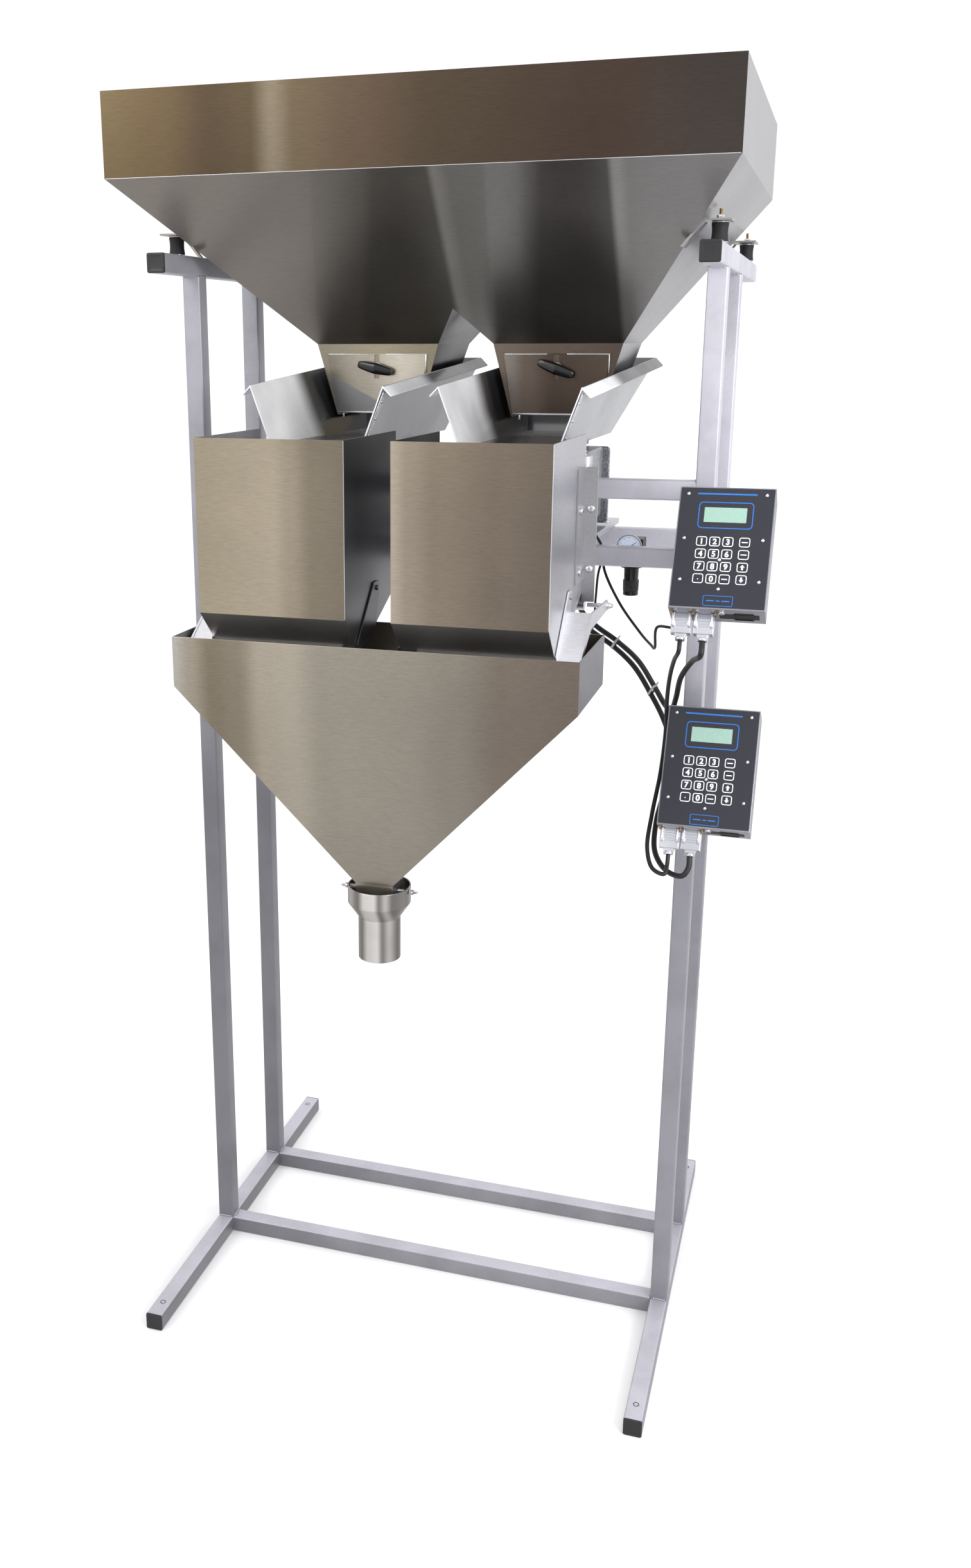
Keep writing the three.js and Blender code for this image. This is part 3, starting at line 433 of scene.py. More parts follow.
def polished(name, color, paint_light_and_shade=None, roughness=0.2, metallic=0.95):
    """Bright smooth sheet with soft cloudy reflections, partly from its varying roughness and partly painted
    into its colour, and a few fine scratches; an optional colour function paints reflections and shade in as
    well.
    """
    shader = Shader(name, Metallic=metallic, Roughness=roughness)
    cloud = shader.noise(shader.point, 7.0, 2.0, 0.5)
    scratches = shader.noise(shader.stretched((40, 40, 900)), 1.0, 5.0, 0.7)
    plain = paint_light_and_shade(shader, linear(*color)) if paint_light_and_shade else linear(*color)
    clouds = shader.ramp(cloud, [(0.34, linear(196, 197, 200)), (0.58, linear(255, 255, 255))])
    marks = shader.ramp(scratches, [(0.28, linear(205, 205, 207)), (0.42, linear(255, 255, 255))])
    base = shader.blend(0.4, plain, clouds, "MULTIPLY")
    shader.put(shader.surface.inputs["Base Color"], shader.blend(0.5, base, marks, "MULTIPLY"))
    smooth_range = shader.remap(cloud, 0.3, 0.7, roughness - 0.03, roughness + 0.09)
    shader.put(shader.surface.inputs["Roughness"], smooth_range)
    shader.relief(scratches, 0.06, 0.0001)
    return shader.material


def painted(name, color, darker, roughness=0.42, metallic=0.25):
    """Powder coat: a fine orange peel, a little flake and slightly darker patches, with painted shade that
    darkens it towards the left and towards the floor, except on faces looking up.
    """
    shader = Shader(name, Metallic=metallic, Roughness=roughness, Coat_Weight=0.12, Coat_Roughness=0.3)
    patches = shader.noise(shader.point, 9.0, 4.0, 0.6)
    flake = shader.noise(shader.point, 1400.0, 2.0, 0.6)
    base = shader.ramp(patches, [(0.3, linear(*darker)), (0.65, linear(*color))])
    sparkle = shader.ramp(flake, [(0.35, linear(214, 214, 218)), (0.65, linear(255, 255, 255))])
    speckled = shader.blend(0.6, base, sparkle, "MULTIPLY")
    # Painted shade: darker towards the left and towards the floor; faces looking up stay nearly as bright as
    # the plain paint.
    left = shader.remap(shader.part(shader.point, 0), at(-60, 0, 0).x, at(-430, 0, 0).x, 1.0, 0.66)
    low = shader.remap(shader.part(shader.point, 2), 1.45, 0.85, 1.0, 0.46)
    shade = shader.math("MULTIPLY", left, low)
    painted_top_light = shader.math("MULTIPLY", facing(shader, 2, 1, 0.5, 0.8), 0.88)
    painted_light_factor = shader.math("MAXIMUM", shade, painted_top_light)
    shader.put(shader.surface.inputs["Base Color"], shader.blend(1.0, speckled, painted_light_factor, "MULTIPLY"))
    shader.relief(shader.noise(shader.point, 420.0, 3.0, 0.5), 0.2, 0.00025)
    return shader.material


def moulded(name, color, roughness, bump=0.0002, scale=700.0, **surface):
    """Plastic or rubber with a fine moulded texture."""
    shader = Shader(name, Roughness=roughness, **surface)
    speckle = shader.noise(shader.point, scale, 3.0, 0.6)
    base = shader.ramp(speckle, [(0.3, linear(*[0.8 * c for c in color])), (0.7, linear(*color))])
    shader.put(shader.surface.inputs["Base Color"], base)
    smooth_range = shader.remap(speckle, 0.3, 0.7, roughness - 0.05, roughness + 0.06)
    shader.put(shader.surface.inputs["Roughness"], smooth_range)
    shader.relief(speckle, 0.3, bump)
    return shader.material


def hammered(name):
    shader = Shader(name, Metallic=0.55, Roughness=0.36, Coat_Weight=0.2, Coat_Roughness=0.2)
    dimples = shader.cells(330.0)
    speckle = shader.noise(shader.point, 420.0, 3.0, 0.7)
    shades = [(0.32, linear(88, 90, 94)), (0.5, linear(136, 138, 143)), (0.68, linear(196, 198, 203))]
    base = shader.ramp(speckle, shades)
    shader.put(shader.surface.inputs["Base Color"], base)
    shader.relief(dimples, 0.5, 0.0006)
    return shader.material


def glowing(name, color, strength):
    shader = Shader(name, Roughness=0.25, Emission_Strength=strength)
    rows = shader.noise(shader.stretched((900, 1, 900)), 1.0, 1.0)
    tint = shader.ramp(rows, [(0.4, linear(*[0.93 * c for c in color])), (0.6, linear(*color))])
    shader.put(shader.surface.inputs["Base Color"], tint)
    shader.put(shader.surface.inputs["Emission Color"], tint)
    return shader.material


HOPPER_SHEET = brushed("hopper_sheet", (190, 189, 188), 0.36, hopper_painted_light, 0.12)
GATE_SHEET = brushed("gate_sheet", (205, 203, 200), 0.27, gate_painted_sheen, 0.3)
BUCKET_SHEET = brushed("bucket_sheet", (176, 176, 179), 0.33, bucket_painted_light, 0.2)
CHUTE_SHEET = brushed("chute_sheet", (186, 185, 186), 0.35, chute_painted_light, 0.15)
SATIN_STEEL = brushed("satin_steel", (236, 236, 240), 0.3)
DOOR_STEEL = brushed("door_steel", (236, 236, 240), 0.3, door_painted_shade)
SPOUT_STEEL = polished("spout_steel", (192, 186, 176), spout_painted_reflections, 0.24)
PAN_STEEL = polished("pan_steel", (252, 253, 255), pan_painted_light, 0.2, 0.1)
BRIGHT_STEEL = polished("bright_steel", (226, 226, 228))
WELD_METAL = moulded("weld_metal", (226, 226, 232), 0.4, 0.0005, 300.0, Metallic=0.6)
FRAME_PAINT = painted("frame_paint", (203, 202, 211), (188, 187, 195))
CAP_PLASTIC = moulded("cap_plastic", (34, 34, 36), 0.42)
KNOB_PLASTIC = moulded("knob_plastic", (13, 13, 14), 0.24, 0.00008, Coat_Weight=0.2)
ISOLATOR_RUBBER = moulded("isolator_rubber", (30, 30, 31), 0.7)
CABLE_JACKET = moulded("cable_jacket", (22, 22, 24), 0.46, 0.00008, 900.0)
TIE_NYLON = moulded("tie_nylon", (176, 178, 184), 0.45)
HAMMERTONE = hammered("hammertone_paint")
PLATE_ALUMINIUM = brushed("plate_aluminium", (214, 215, 220), 0.38, None, 0.2)
CASE_METAL = brushed("case_metal", (160, 160, 168), 0.3, None, 0.2)
OVERLAY_FILM = moulded("overlay_film", (38, 40, 50), 0.36, 0.00006, 1600.0)
# Painted light: the keys' white print glows a little.
KEY_INK_PAINTED_GLOW = glowing("key_ink_painted_glow", (244, 246, 250), 0.2)
BLUE_INK = moulded("blue_ink", (44, 122, 216), 0.4, 0.00004)
SCREEN = glowing("display_screen", (152, 186, 172), 0.12)
# Painted shade: near black plates and discs stand in for the depth of recesses and holes.
RECESS_PAINTED_SHADE = moulded("recess_painted_shade", (20, 20, 22), 0.6)
CHROME_HOOD = polished("chrome_hood", (222, 223, 230))
BRASS = moulded("brass", (196, 166, 122), 0.3, 0.0001, 500.0, Metallic=1.0)
# Painted light: the gauge's dial face glows, so it reads bright in the shade below the base plate.
DIAL_FACE_PAINTED_GLOW = glowing("dial_face_painted_glow", (214, 224, 240), 0.45)
DIAL_INK = moulded("dial_ink", (36, 40, 52), 0.4, 0.00003)


# ---- forms ---------------------------------------------------------------------
def loft(rings, capped=True):
    """A surface through rings of the same length; capped ends make it a solid."""
    form = bmesh.new()
    rows = [[form.verts.new(point) for point in ring] for ring in rings]
    count = len(rows[0])
    for near, far in zip(rows, rows[1:]):
        for index in range(count):
            after = (index + 1) % count
            form.faces.new((near[index], near[after], far[after], far[index]))
    if capped:
        form.faces.new(list(reversed(rows[0])))
        form.faces.new(rows[-1])
    bmesh.ops.remove_doubles(form, verts=form.verts, dist=1e-7)
    bmesh.ops.recalc_face_normals(form, faces=form.faces)
    return form


def circle(radius, z, steps=32, phase=0.0):
    turns = [phase + math.tau * step / steps for step in range(steps)]
    return [Vector((radius * math.cos(turn), radius * math.sin(turn), z)) * MM for turn in turns]


def hexagon(across_flats, z, steps=24):
    """A ring of points along a hexagon."""
    ring = []
    for step in range(steps):
        turn = math.tau * step / steps
        reach = across_flats / 2 / math.cos((turn % (math.pi / 3)) - math.pi / 6)
        ring.append(Vector((reach * math.cos(turn), reach * math.sin(turn), z)) * MM)
    return ring


def rounded(width, height, radius, z, arc=5):
    """A ring of points round a rectangle with round corners, centred on the axis."""
    ring = []
    corners = ((1, 1, 0), (-1, 1, 1), (-1, -1, 2), (1, -1, 3))
    for sign_x, sign_y, quarter in corners:
        for step in range(arc + 1):
            turn = math.pi / 2 * (quarter + step / arc)
            x = sign_x * (width / 2 - radius) + radius * math.cos(turn)
            y = sign_y * (height / 2 - radius) + radius * math.sin(turn)
            ring.append(Vector((x, y, z)) * MM)
    return ring


def turned(profile, steps=32):
    """A solid turned about Z from (radius, z) points, in millimetres; it starts and ends on the axis."""
    return loft([circle(max(radius, 1e-5), z, steps) for radius, z in profile], capped=False)


def slab(width, height, radius, depth, edge=0.5):
    """A plate with round corners and softened edges, from z 0 to its depth."""
    rings = []
    for z, inset in ((0, edge), (edge, 0), (depth - edge, 0), (depth, edge)):
        rings.append(rounded(width - 2 * inset, height - 2 * inset, max(radius - inset, 0.05), z))
    return loft(rings)


def outline(width, height, radius, line, depth):
    """A raised frame: the band between two rounded rectangles."""
    inner = (width - 2 * line, height - 2 * line, max(radius - line, 0.1))
    rings = [
        rounded(width, height, radius, 0),
        rounded(width, height, radius, depth),
        rounded(*inner, depth),
        rounded(*inner, 0),
        rounded(width, height, radius, 0),
    ]
    return loft(rings, capped=False)


def block(size_x, size_y, size_z, edge=0.8):
    """A box with softened edges, centred on its own middle."""
    form = bmesh.new()
    bmesh.ops.create_cube(form, size=1.0)
    bmesh.ops.scale(form, vec=Vector((size_x, size_y, size_z)) * MM, verts=form.verts)
    bmesh.ops.bevel(form, geom=form.edges[:], offset=edge * MM, segments=3, profile=0.5, affect="EDGES")
    return form


def box_between(low, high, edge=0.8):
    """A softened box between two corners, in metres."""
    form = block(*[(b - a) / MM for a, b in zip(low, high)], edge)
    bmesh.ops.translate(form, vec=(Vector(low) + Vector(high)) / 2, verts=form.verts)
    return form


def swept(points, radius, sides=12, radii=None):
    """A solid round bar along points in metres, with softened ends."""
    points = [Vector(point) for point in points]
    last = len(points) - 1
    tangents = [(points[min(i + 1, last)] - points[max(i - 1, 0)]).normalized() for i in range(last + 1)]
    side = tangents[0].orthogonal().normalized()
    rings = []
    for index, (point, tangent) in enumerate(zip(points, tangents)):
        side = (side - tangent * side.dot(tangent)).normalized()
        up = tangent.cross(side)
        reach = (radii[index] if radii else radius) * MM
        turns = [math.tau * step / sides for step in range(sides)]
        rings.append([point + (side * math.cos(t) + up * math.sin(t)) * reach for t in turns])
    return loft(rings)


def smooth_route(points, step=0.004):
    """Points close together on the smooth curve through a given route (centripetal Catmull-Rom)."""
    knots = [2 * points[0] - points[1], *points, 2 * points[-1] - points[-2]]
    route = []
    for index in range(1, len(knots) - 2):
        p0, p1, p2, p3 = knots[index - 1 : index + 3]
        t1 = math.sqrt((p1 - p0).length)
        t2 = t1 + math.sqrt((p2 - p1).length)
        t3 = t2 + math.sqrt((p3 - p2).length)
        count = max(3, math.ceil((p2 - p1).length / step))
        for number in range(count):
            t = t1 + (t2 - t1) * number / count
            a1 = p0 * (t1 - t) / t1 + p1 * t / t1
            a2 = p1 * (t2 - t) / (t2 - t1) + p2 * (t - t1) / (t2 - t1)
            a3 = p2 * (t3 - t) / (t3 - t2) + p3 * (t - t2) / (t3 - t2)
            b1 = a1 * (t2 - t) / t2 + a2 * t / t2
            b2 = a2 * (t3 - t) / (t3 - t1) + a3 * (t - t1) / (t3 - t1)
            route.append(b1 * (t2 - t) / (t2 - t1) + b2 * (t - t1) / (t2 - t1))
    route.append(points[-1])
    return route


def aimed(place, direction, roll=0.0):
    """A matrix that puts a form's +Z along a direction, at a place."""
    turn = Vector(direction).to_track_quat("Z", "Y").to_matrix().to_4x4()
    return Matrix.Translation(place) @ turn @ Matrix.Rotation(roll, 4, "Z")


class Piece:
    """One visible piece: forms put together in one mesh, each with its own finish."""

    def __init__(self, name, body, slot, *finishes):
        self.name = name
        self.body = body
        self.slot = slot
        self.finishes = finishes
        self.form = bmesh.new()

    def add(self, form, place=None, finish=0):
        if place is not None:
            bmesh.ops.transform(form, matrix=place, verts=form.verts)
        for face in form.faces:
            face.material_index = finish
            face.smooth = True
        mesh = bpy.data.meshes.new("part")
        form.to_mesh(mesh)
        form.free()
        self.form.from_mesh(mesh)
        bpy.data.meshes.remove(mesh)
        return self

    def done(self, replaces=(), sharp=38):
        for edge in self.form.edges:
            if len(edge.link_faces) == 2 and edge.calc_face_angle(0) > math.radians(sharp):
                edge.smooth = False
        mesh = bpy.data.meshes.new(self.name)
        self.form.to_mesh(mesh)
        self.form.free()
        for finish in self.finishes:
            mesh.materials.append(finish)
        piece = bpy.data.objects.new(self.name, mesh)
        bpy.context.scene.collection.objects.link(piece)
        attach(piece, self.body)
        if replaces:
            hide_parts(*replaces)
        return piece


def dress(node, finish, edge=0.5, segments=2):
    """Keeps a CAD node's shape, softens its edges and gives it its finish."""
    piece = NODES[node]
    piece.data.materials.clear()
    piece.data.materials.append(finish)
    for face in piece.data.polygons:
        face.use_smooth = True
        face.material_index = 0
    weld = piece.modifiers.new("weld", "WELD")
    weld.merge_threshold = 1e-5
    flat = piece.modifiers.new("flat", "DECIMATE")
    flat.decimate_type = "DISSOLVE"
    flat.angle_limit = math.radians(1)
    bevel = piece.modifiers.new("bevel", "BEVEL")
    bevel.width = edge * MM
    bevel.segments = segments
    bevel.limit_method = "ANGLE"
    bevel.angle_limit = math.radians(28)
    bevel.miter_outer = "MITER_ARC"
    normals = piece.modifiers.new("normals", "WEIGHTED_NORMAL")
    normals.keep_sharp = False
    normals.weight = 80


# ---- small hardware ------------------------------------------------------------
def button_screw(piece, place, direction, radius=4.0, finish=0):
    """A button head with a hexagon socket."""
    high = radius * 0.62
    socket = radius * 0.95
    rings = [circle(radius * 0.96, 0, 24), circle(radius, high * 0.18, 24)]
    for step in range(1, 6):
        turn = math.pi / 2 * step / 6
        rings.append(circle(radius * math.cos(turn * 0.86), high * (0.18 + 0.82 * math.sin(turn)), 24))
    rings += [hexagon(socket, high, 24), hexagon(socket * 0.96, high * 0.35, 24)]
    piece.add(loft(rings), aimed(place, direction), finish)


def dome_screw(piece, place, radius=2.6, finish=0):
    """A low round head with a shallow round recess."""
    profile = [(0, 0), (radius, 0), (radius * 0.97, radius * 0.25), (radius * 0.72, radius * 0.55)]
    profile += [(radius * 0.34, radius * 0.68), (radius * 0.3, radius * 0.4), (0, radius * 0.38)]
    piece.add(turned(profile, 20), place, finish)


def hex_bolt(piece, place, direction, flats=10.0, high=4.5, finish=0, stud=0.0):
    """A chamfered hexagon on a washer, with an optional stud through it."""
    washer = [(0, 0), (flats * 0.78, 0), (flats * 0.78, 1.1), (0, 1.2)]
    where = aimed(place, direction)
    piece.add(turned(washer, 28), where, finish)
    levels = ((flats * 0.94, 1.1), (flats, 1.5), (flats, high), (flats * 0.88, high + 0.8))
    piece.add(loft([hexagon(*level) for level in levels]), where, finish)
    if stud:
        thread = [(0, high)]
        turns = int(stud / 0.8)
        for number in range(turns):
            thread += [(flats * 0.29, high + 0.8 * number), (flats * 0.25, high + 0.8 * number + 0.4)]
        thread += [(flats * 0.2, high + 0.8 * turns), (0, high + 0.8 * turns)]
        piece.add(turned(thread, 16), where, finish)


def bead(piece, start, end, radius, rng, finish=0):
    """A lumpy weld bead between two points."""
    start, end = Vector(start), Vector(end)
    count = max(6, int((end - start).length / (0.7 * radius * MM)))
    points, radii = [], []
    for number in range(count + 1):
        share = number / count
        points.append(start.lerp(end, share))
        ends = min(1.0, math.sin(math.pi * share) * 4 + 0.25)
        radii.append(radius * ends * (0.84 + 0.16 * math.sin(number * 1.9) + rng.uniform(-0.08, 0.08)))
    piece.add(swept(points, radius, 8, radii), None, finish)


# ---- tube frame ----------------------------------------------------------------
AXES = {"x": (1, 0, 0), "y": (0, 1, 0), "z": (0, 0, 1)}
CAP_DEPTH = 3.5


def tube_piece(node, axis, shorten=0.0, holes=()):
    """A square tube with round corners; at the given ends its bolt-down holes are dark discs on its top wall,
    painted shade in place of holes.
    """
    low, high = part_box(node)
    index = "xyz".index(axis)
    length = (high[index] - low[index]) / MM - 2 * shorten
    start = (low + high) / 2
    start[index] = low[index] + shorten * MM
    rings = [rounded(TUBE, TUBE, 3.2, z) for z in (0, length)]
    inner = [rounded(TUBE - 4, TUBE - 4, 1.4, z) for z in (length, 0)]
    form = loft([*rings, *inner, rings[0]], capped=False)
    piece = Piece(node + "_tube", "frame", "powder_coat", FRAME_PAINT, RECESS_PAINTED_SHADE)
    piece.add(form, aimed(start, AXES[axis]))
    for y in holes:
        top = Vector((start.x, y, high.z))
        ring = [(0, -0.3), (4.2, -0.3), (4.2, 0.15), (5.2, 0.15)]
        ring += [(5.0, 0.35), (3.9, 0.3), (3.7, -0.1), (0, -0.1)]
        piece.add(turned(ring, 24), aimed(top, (0, 0, 1)), 1)
    piece.done(replaces=(node,))


def end_cap(name, place, outward):
    """A moulded square cap: a flange with round edges and a shallow dish."""
    edges = ((0, 0.6), (0.5, 0.0), (CAP_DEPTH - 1.4, 0.0), (CAP_DEPTH - 0.4, 0.7), (CAP_DEPTH, 2.2))
    rings = [rounded(TUBE - 2 * inset, TUBE - 2 * inset, 3.2 - min(inset, 2), z) for z, inset in edges]
    for narrower, radius, dish in ((9, 1.2, 0.5), (14, 0.8, 0.9)):
        rings.append(rounded(TUBE - narrower, TUBE - narrower, radius, CAP_DEPTH - dish))
    Piece(name, "frame", "black_plastic", CAP_PLASTIC).add(loft(rings), aimed(place, outward)).done()


def build_frame():
    for side, _ in SIDES:
        foot_low, foot_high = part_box(f"foot_{side}")
        holes = (foot_low.y + 0.040, foot_high.y - 0.034)
        tube_piece(f"foot_{side}", "y", CAP_DEPTH, holes)
        tube_piece(f"top_beam_{side}", "y", CAP_DEPTH)
        for beam in ("foot", "top_beam"):
            low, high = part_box(f"{beam}_{side}")
            centre = (low + high) / 2
            front = Vector((centre.x, low.y + CAP_DEPTH * MM, centre.z))
            back = Vector((centre.x, high.y - CAP_DEPTH * MM, centre.z))
            end_cap(f"{beam}_cap_front_{side}", front, (0, -1, 0))
            end_cap(f"{beam}_cap_back_{side}", back, (0, 1, 0))
        for end in ("front", "back"):
            tube_piece(f"post_{end}_{side}", "z")
    for rail in RAILS:
        tube_piece(rail, "x")


def build_welds():
    """Beads where posts stand on feet and meet beams, and where rails meet posts."""
    rng = random.Random(7)
    piece = Piece("frame_welds", "frame", "powder_coat", FRAME_PAINT)
    half = HALF_TUBE - 3
    for _, sign in SIDES:
        for y in (-POST_Y, POST_Y):
            for z in (TUBE, POST_TOP):
                for edge in (-1, 1):
                    bead(piece, at(sign * POST_X - half, y + edge * HALF_TUBE, z),
                         at(sign * POST_X + half, y + edge * HALF_TUBE, z), 3.0, rng)
                    bead(piece, at(sign * POST_X + edge * (HALF_TUBE - 0.6), y - half, z),
                         at(sign * POST_X + edge * (HALF_TUBE - 0.6), y + half, z), 1.3, rng)
    for rail in RAILS:
        low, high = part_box(rail)
        y_low, y_high = low.y + 0.003, high.y - 0.003
        for x in (low.x, high.x):
            for z in (low.z, high.z):
                if z > low.z or low.z > TUBE * MM:
                    bead(piece, (x, y_low, z), (x, y_high, z), 2.6, rng)
            for y in (low.y + 0.0006, high.y - 0.0006):
                bead(piece, (x, y, low.z + 0.004), (x, y, high.z - 0.003), 1.2, rng)
    piece.done(sharp=60)


def build_isolators():
    for side, _ in SIDES:
        for end in ("front", "back"):
            node = f"isolator_{end}_{side}"
            low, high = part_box(node)
            foot = Vector(((low.x + high.x) / 2, (low.y + high.y) / 2, low.z))
            radius = (high.x - low.x) / 2 / MM
            top = (high.z - low.z) / MM
            piece = Piece(node + "_mount", "frame", "rubber", ISOLATOR_RUBBER, BRIGHT_STEEL, BRASS)
            profile = [(0, 1.5), (radius * 0.97, 1.5), (radius, 2.6)]
            for step in range(1, 8):
                share = step / 8
                profile.append((radius - 1.1 * math.sin(math.pi * share), 2.6 + (top - 5.2) * share))
            profile += [(radius, top - 2.6), (radius * 0.97, top - 1.5), (0, top - 1.5)]
            piece.add(turned(profile, 40), Matrix.Translation(foot))
            for z in (0, top - 1.5):
                plate = [(0, 0), (radius - 0.6, 0), (radius - 0.3, 0.4)]
                plate += [(radius - 0.3, 1.1), (radius - 0.6, 1.5), (0, 1.5)]
                piece.add(turned(plate, 40), Matrix.Translation(foot + Vector((0, 0, z * MM))), 1)
            above = foot + Vector((0, 0, (top + 3.6) * MM))
            hex_bolt(piece, above, (0, 0, 1), 10, 5, 1)
            stud = [(0, 4), (2.6, 4)]
            for turn in range(10):
                stud += [(2.6, 5 + turn), (2.2, 5.5 + turn)]
            stud += [(1.8, 15.4), (0, 15.4)]
            piece.add(turned(stud, 16), Matrix.Translation(above), 2)
            piece.done(replaces=(node,))


# ---- hopper and gates ----------------------------------------------------------
def build_hopper():
    dress("supply_hopper", HOPPER_SHEET, 0.7)
    rng = random.Random(11)
    welds_and_fold_highlight = Piece("hopper_welds_and_fold_highlight", "frame", "bright_steel", WELD_METAL, SATIN_STEEL)
    low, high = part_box("supply_hopper")
    inset = 0.0015
    fold = at(0, 0, HOPPER_FOLD).z
    for x in (low.x + inset, high.x - inset):
        for y in (low.y + inset, high.y - inset):
            bead(welds_and_fold_highlight, (x, y, fold + 0.002), (x, y, high.z - 0.002), 1.45, rng)
    # A thin satin rod along the front fold: a painted highlight on the fold's edge.
    front_y = at(0, HOPPER_FRONT, 0).y
    fold_highlight = [(x, front_y, fold) for x in (low.x + 0.002, 0.0, high.x - 0.002)]
    welds_and_fold_highlight.add(swept(fold_highlight, 0.5, 8), None, 1)
    welds_and_fold_highlight.done(sharp=60)


def build_gates():
    for side, sign in SIDES:
        dress(f"gate_{side}", GATE_SHEET, 0.5)
        low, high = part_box(f"gate_{side}")
        trim = Piece(f"gate_trim_and_edge_highlights_{side}", f"gate_{side}", "stainless", BRIGHT_STEEL)
        tab_x = low.x + 0.030
        tab_low = (tab_x, low.y + 0.0004, low.z - 0.009)
        trim.add(box_between(tab_low, (tab_x + 0.0035, low.y + 0.0022, low.z), 0.4))
        # Thin bright strips along the top edge, in two lengths, and down the right edge: painted highlights
        # on those edges.
        face_y = high.y - 0.0020
        inner_end, outer_end = 71.5, 255.5
        for start, end in ((inner_end, 146), (181, outer_end)):
            ends = sorted((at(sign * start, 0, 0).x, at(sign * end, 0, 0).x))
            line_low = (ends[0], face_y - 0.0006, high.z - 0.0016)
            trim.add(box_between(line_low, (ends[1], face_y + 0.0008, high.z), 0.3))
        right_x = 255 if sign > 0 else -71.5
        trim.add(box_between((at(right_x - 1.6, 0, 0).x, face_y - 0.0006, high.z - 0.032),
                             (at(right_x, 0, 0).x, face_y + 0.0008, high.z), 0.3))
        lip_x = sorted((at(sign * 88, 0, 0).x, at(sign * 236, 0, 0).x))
        lip_low = (lip_x[0], low.y - 0.0006, low.z - 0.0005)
        trim.add(box_between(lip_low, (lip_x[1], low.y + 0.0016, low.z + 0.0026), 0.5))
        trim.done()

        knob = f"gate_knob_{side}"
        k_low, k_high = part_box(knob)
        centre = (k_low + k_high) / 2
        half = (k_high.x - k_low.x) / 2 / MM
        wing = Piece(knob + "_wing", knob, "black_plastic", KNOB_PLASTIC, BRIGHT_STEEL)
        rings = []
        for step in range(33):
            share = -1 + step / 16
            swell = max(0.0, 1 - abs(share)) ** 0.9
            tall = 6.4 + 3.4 * swell
            deep = 3.2 + 4.6 * swell
            ends = 1 - 0.35 * abs(share) ** 12
            turns = [math.tau * number / 28 for number in range(28)]
            rings.append([
                Vector((
                    share * (half - 1.5),
                    -11 + deep * ends * math.copysign(abs(math.sin(t)) ** 0.6, math.sin(t)),
                    tall * ends * math.copysign(abs(math.cos(t)) ** 0.6, math.cos(t)),
                )) * MM
                for t in turns
            ])
        tilt = Matrix.Rotation(math.radians(13 if sign < 0 else 20), 4, "Y")
        face = Vector((centre.x, k_high.y - 0.002, centre.z))
        wing.add(loft(rings), Matrix.Translation(face) @ tilt)
        boss = [(0, 0), (8, 0), (8.4, 0.8), (7.6, 5), (6.6, 6), (0, 6)]
        wing.add(turned(boss, 32), aimed(face, (0, -1, 0)))
        washer_place = aimed(Vector((centre.x, k_high.y - 0.0030, centre.z)), (0, -1, 0))
        wing.add(turned([(0, 0), (10.5, 0), (10.5, 0.9), (0, 1.0)], 32), washer_place, 1)
        wing.done(replaces=(knob,))


# ---- feeders -------------------------------------------------------------------
def build_trays():
    for side, sign in SIDES:
        node = f"feeder_tray_{side}"
        dress(node, PAN_STEEL, 0.5)
        # A stiffening strip down the front edge of the pan's right wall.
        foot_x, top_x = (237, 270.5) if sign > 0 else (-79, -43.5)
        foot, top = at(foot_x, -303, 1612), at(top_x - 1.5, -303, 1693)
        along = (top - foot).normalized()
        outward = Vector((along.z, 0, -along.x))
        strip = Piece(f"feeder_tray_strip_{side}", node, "bright_steel", WELD_METAL, BRIGHT_STEEL)
        turn = Matrix((outward, Vector((0, 1, 0)), along)).transposed().to_4x4()
        length = (top - foot).length / MM
        centre = (foot + top) / 2 + outward * 0.0011 + Vector((0, 0.006, 0))
        strip.add(block(2.0, 13, length, 0.5), Matrix.Translation(centre) @ turn)
        for share in (0.18, 0.5, 0.82):
            spot = foot.lerp(top, share) + outward * 0.0021 + Vector((0, 0.006, 0))
            button_screw(strip, spot, outward, 2.6, 1)
        strip.done()


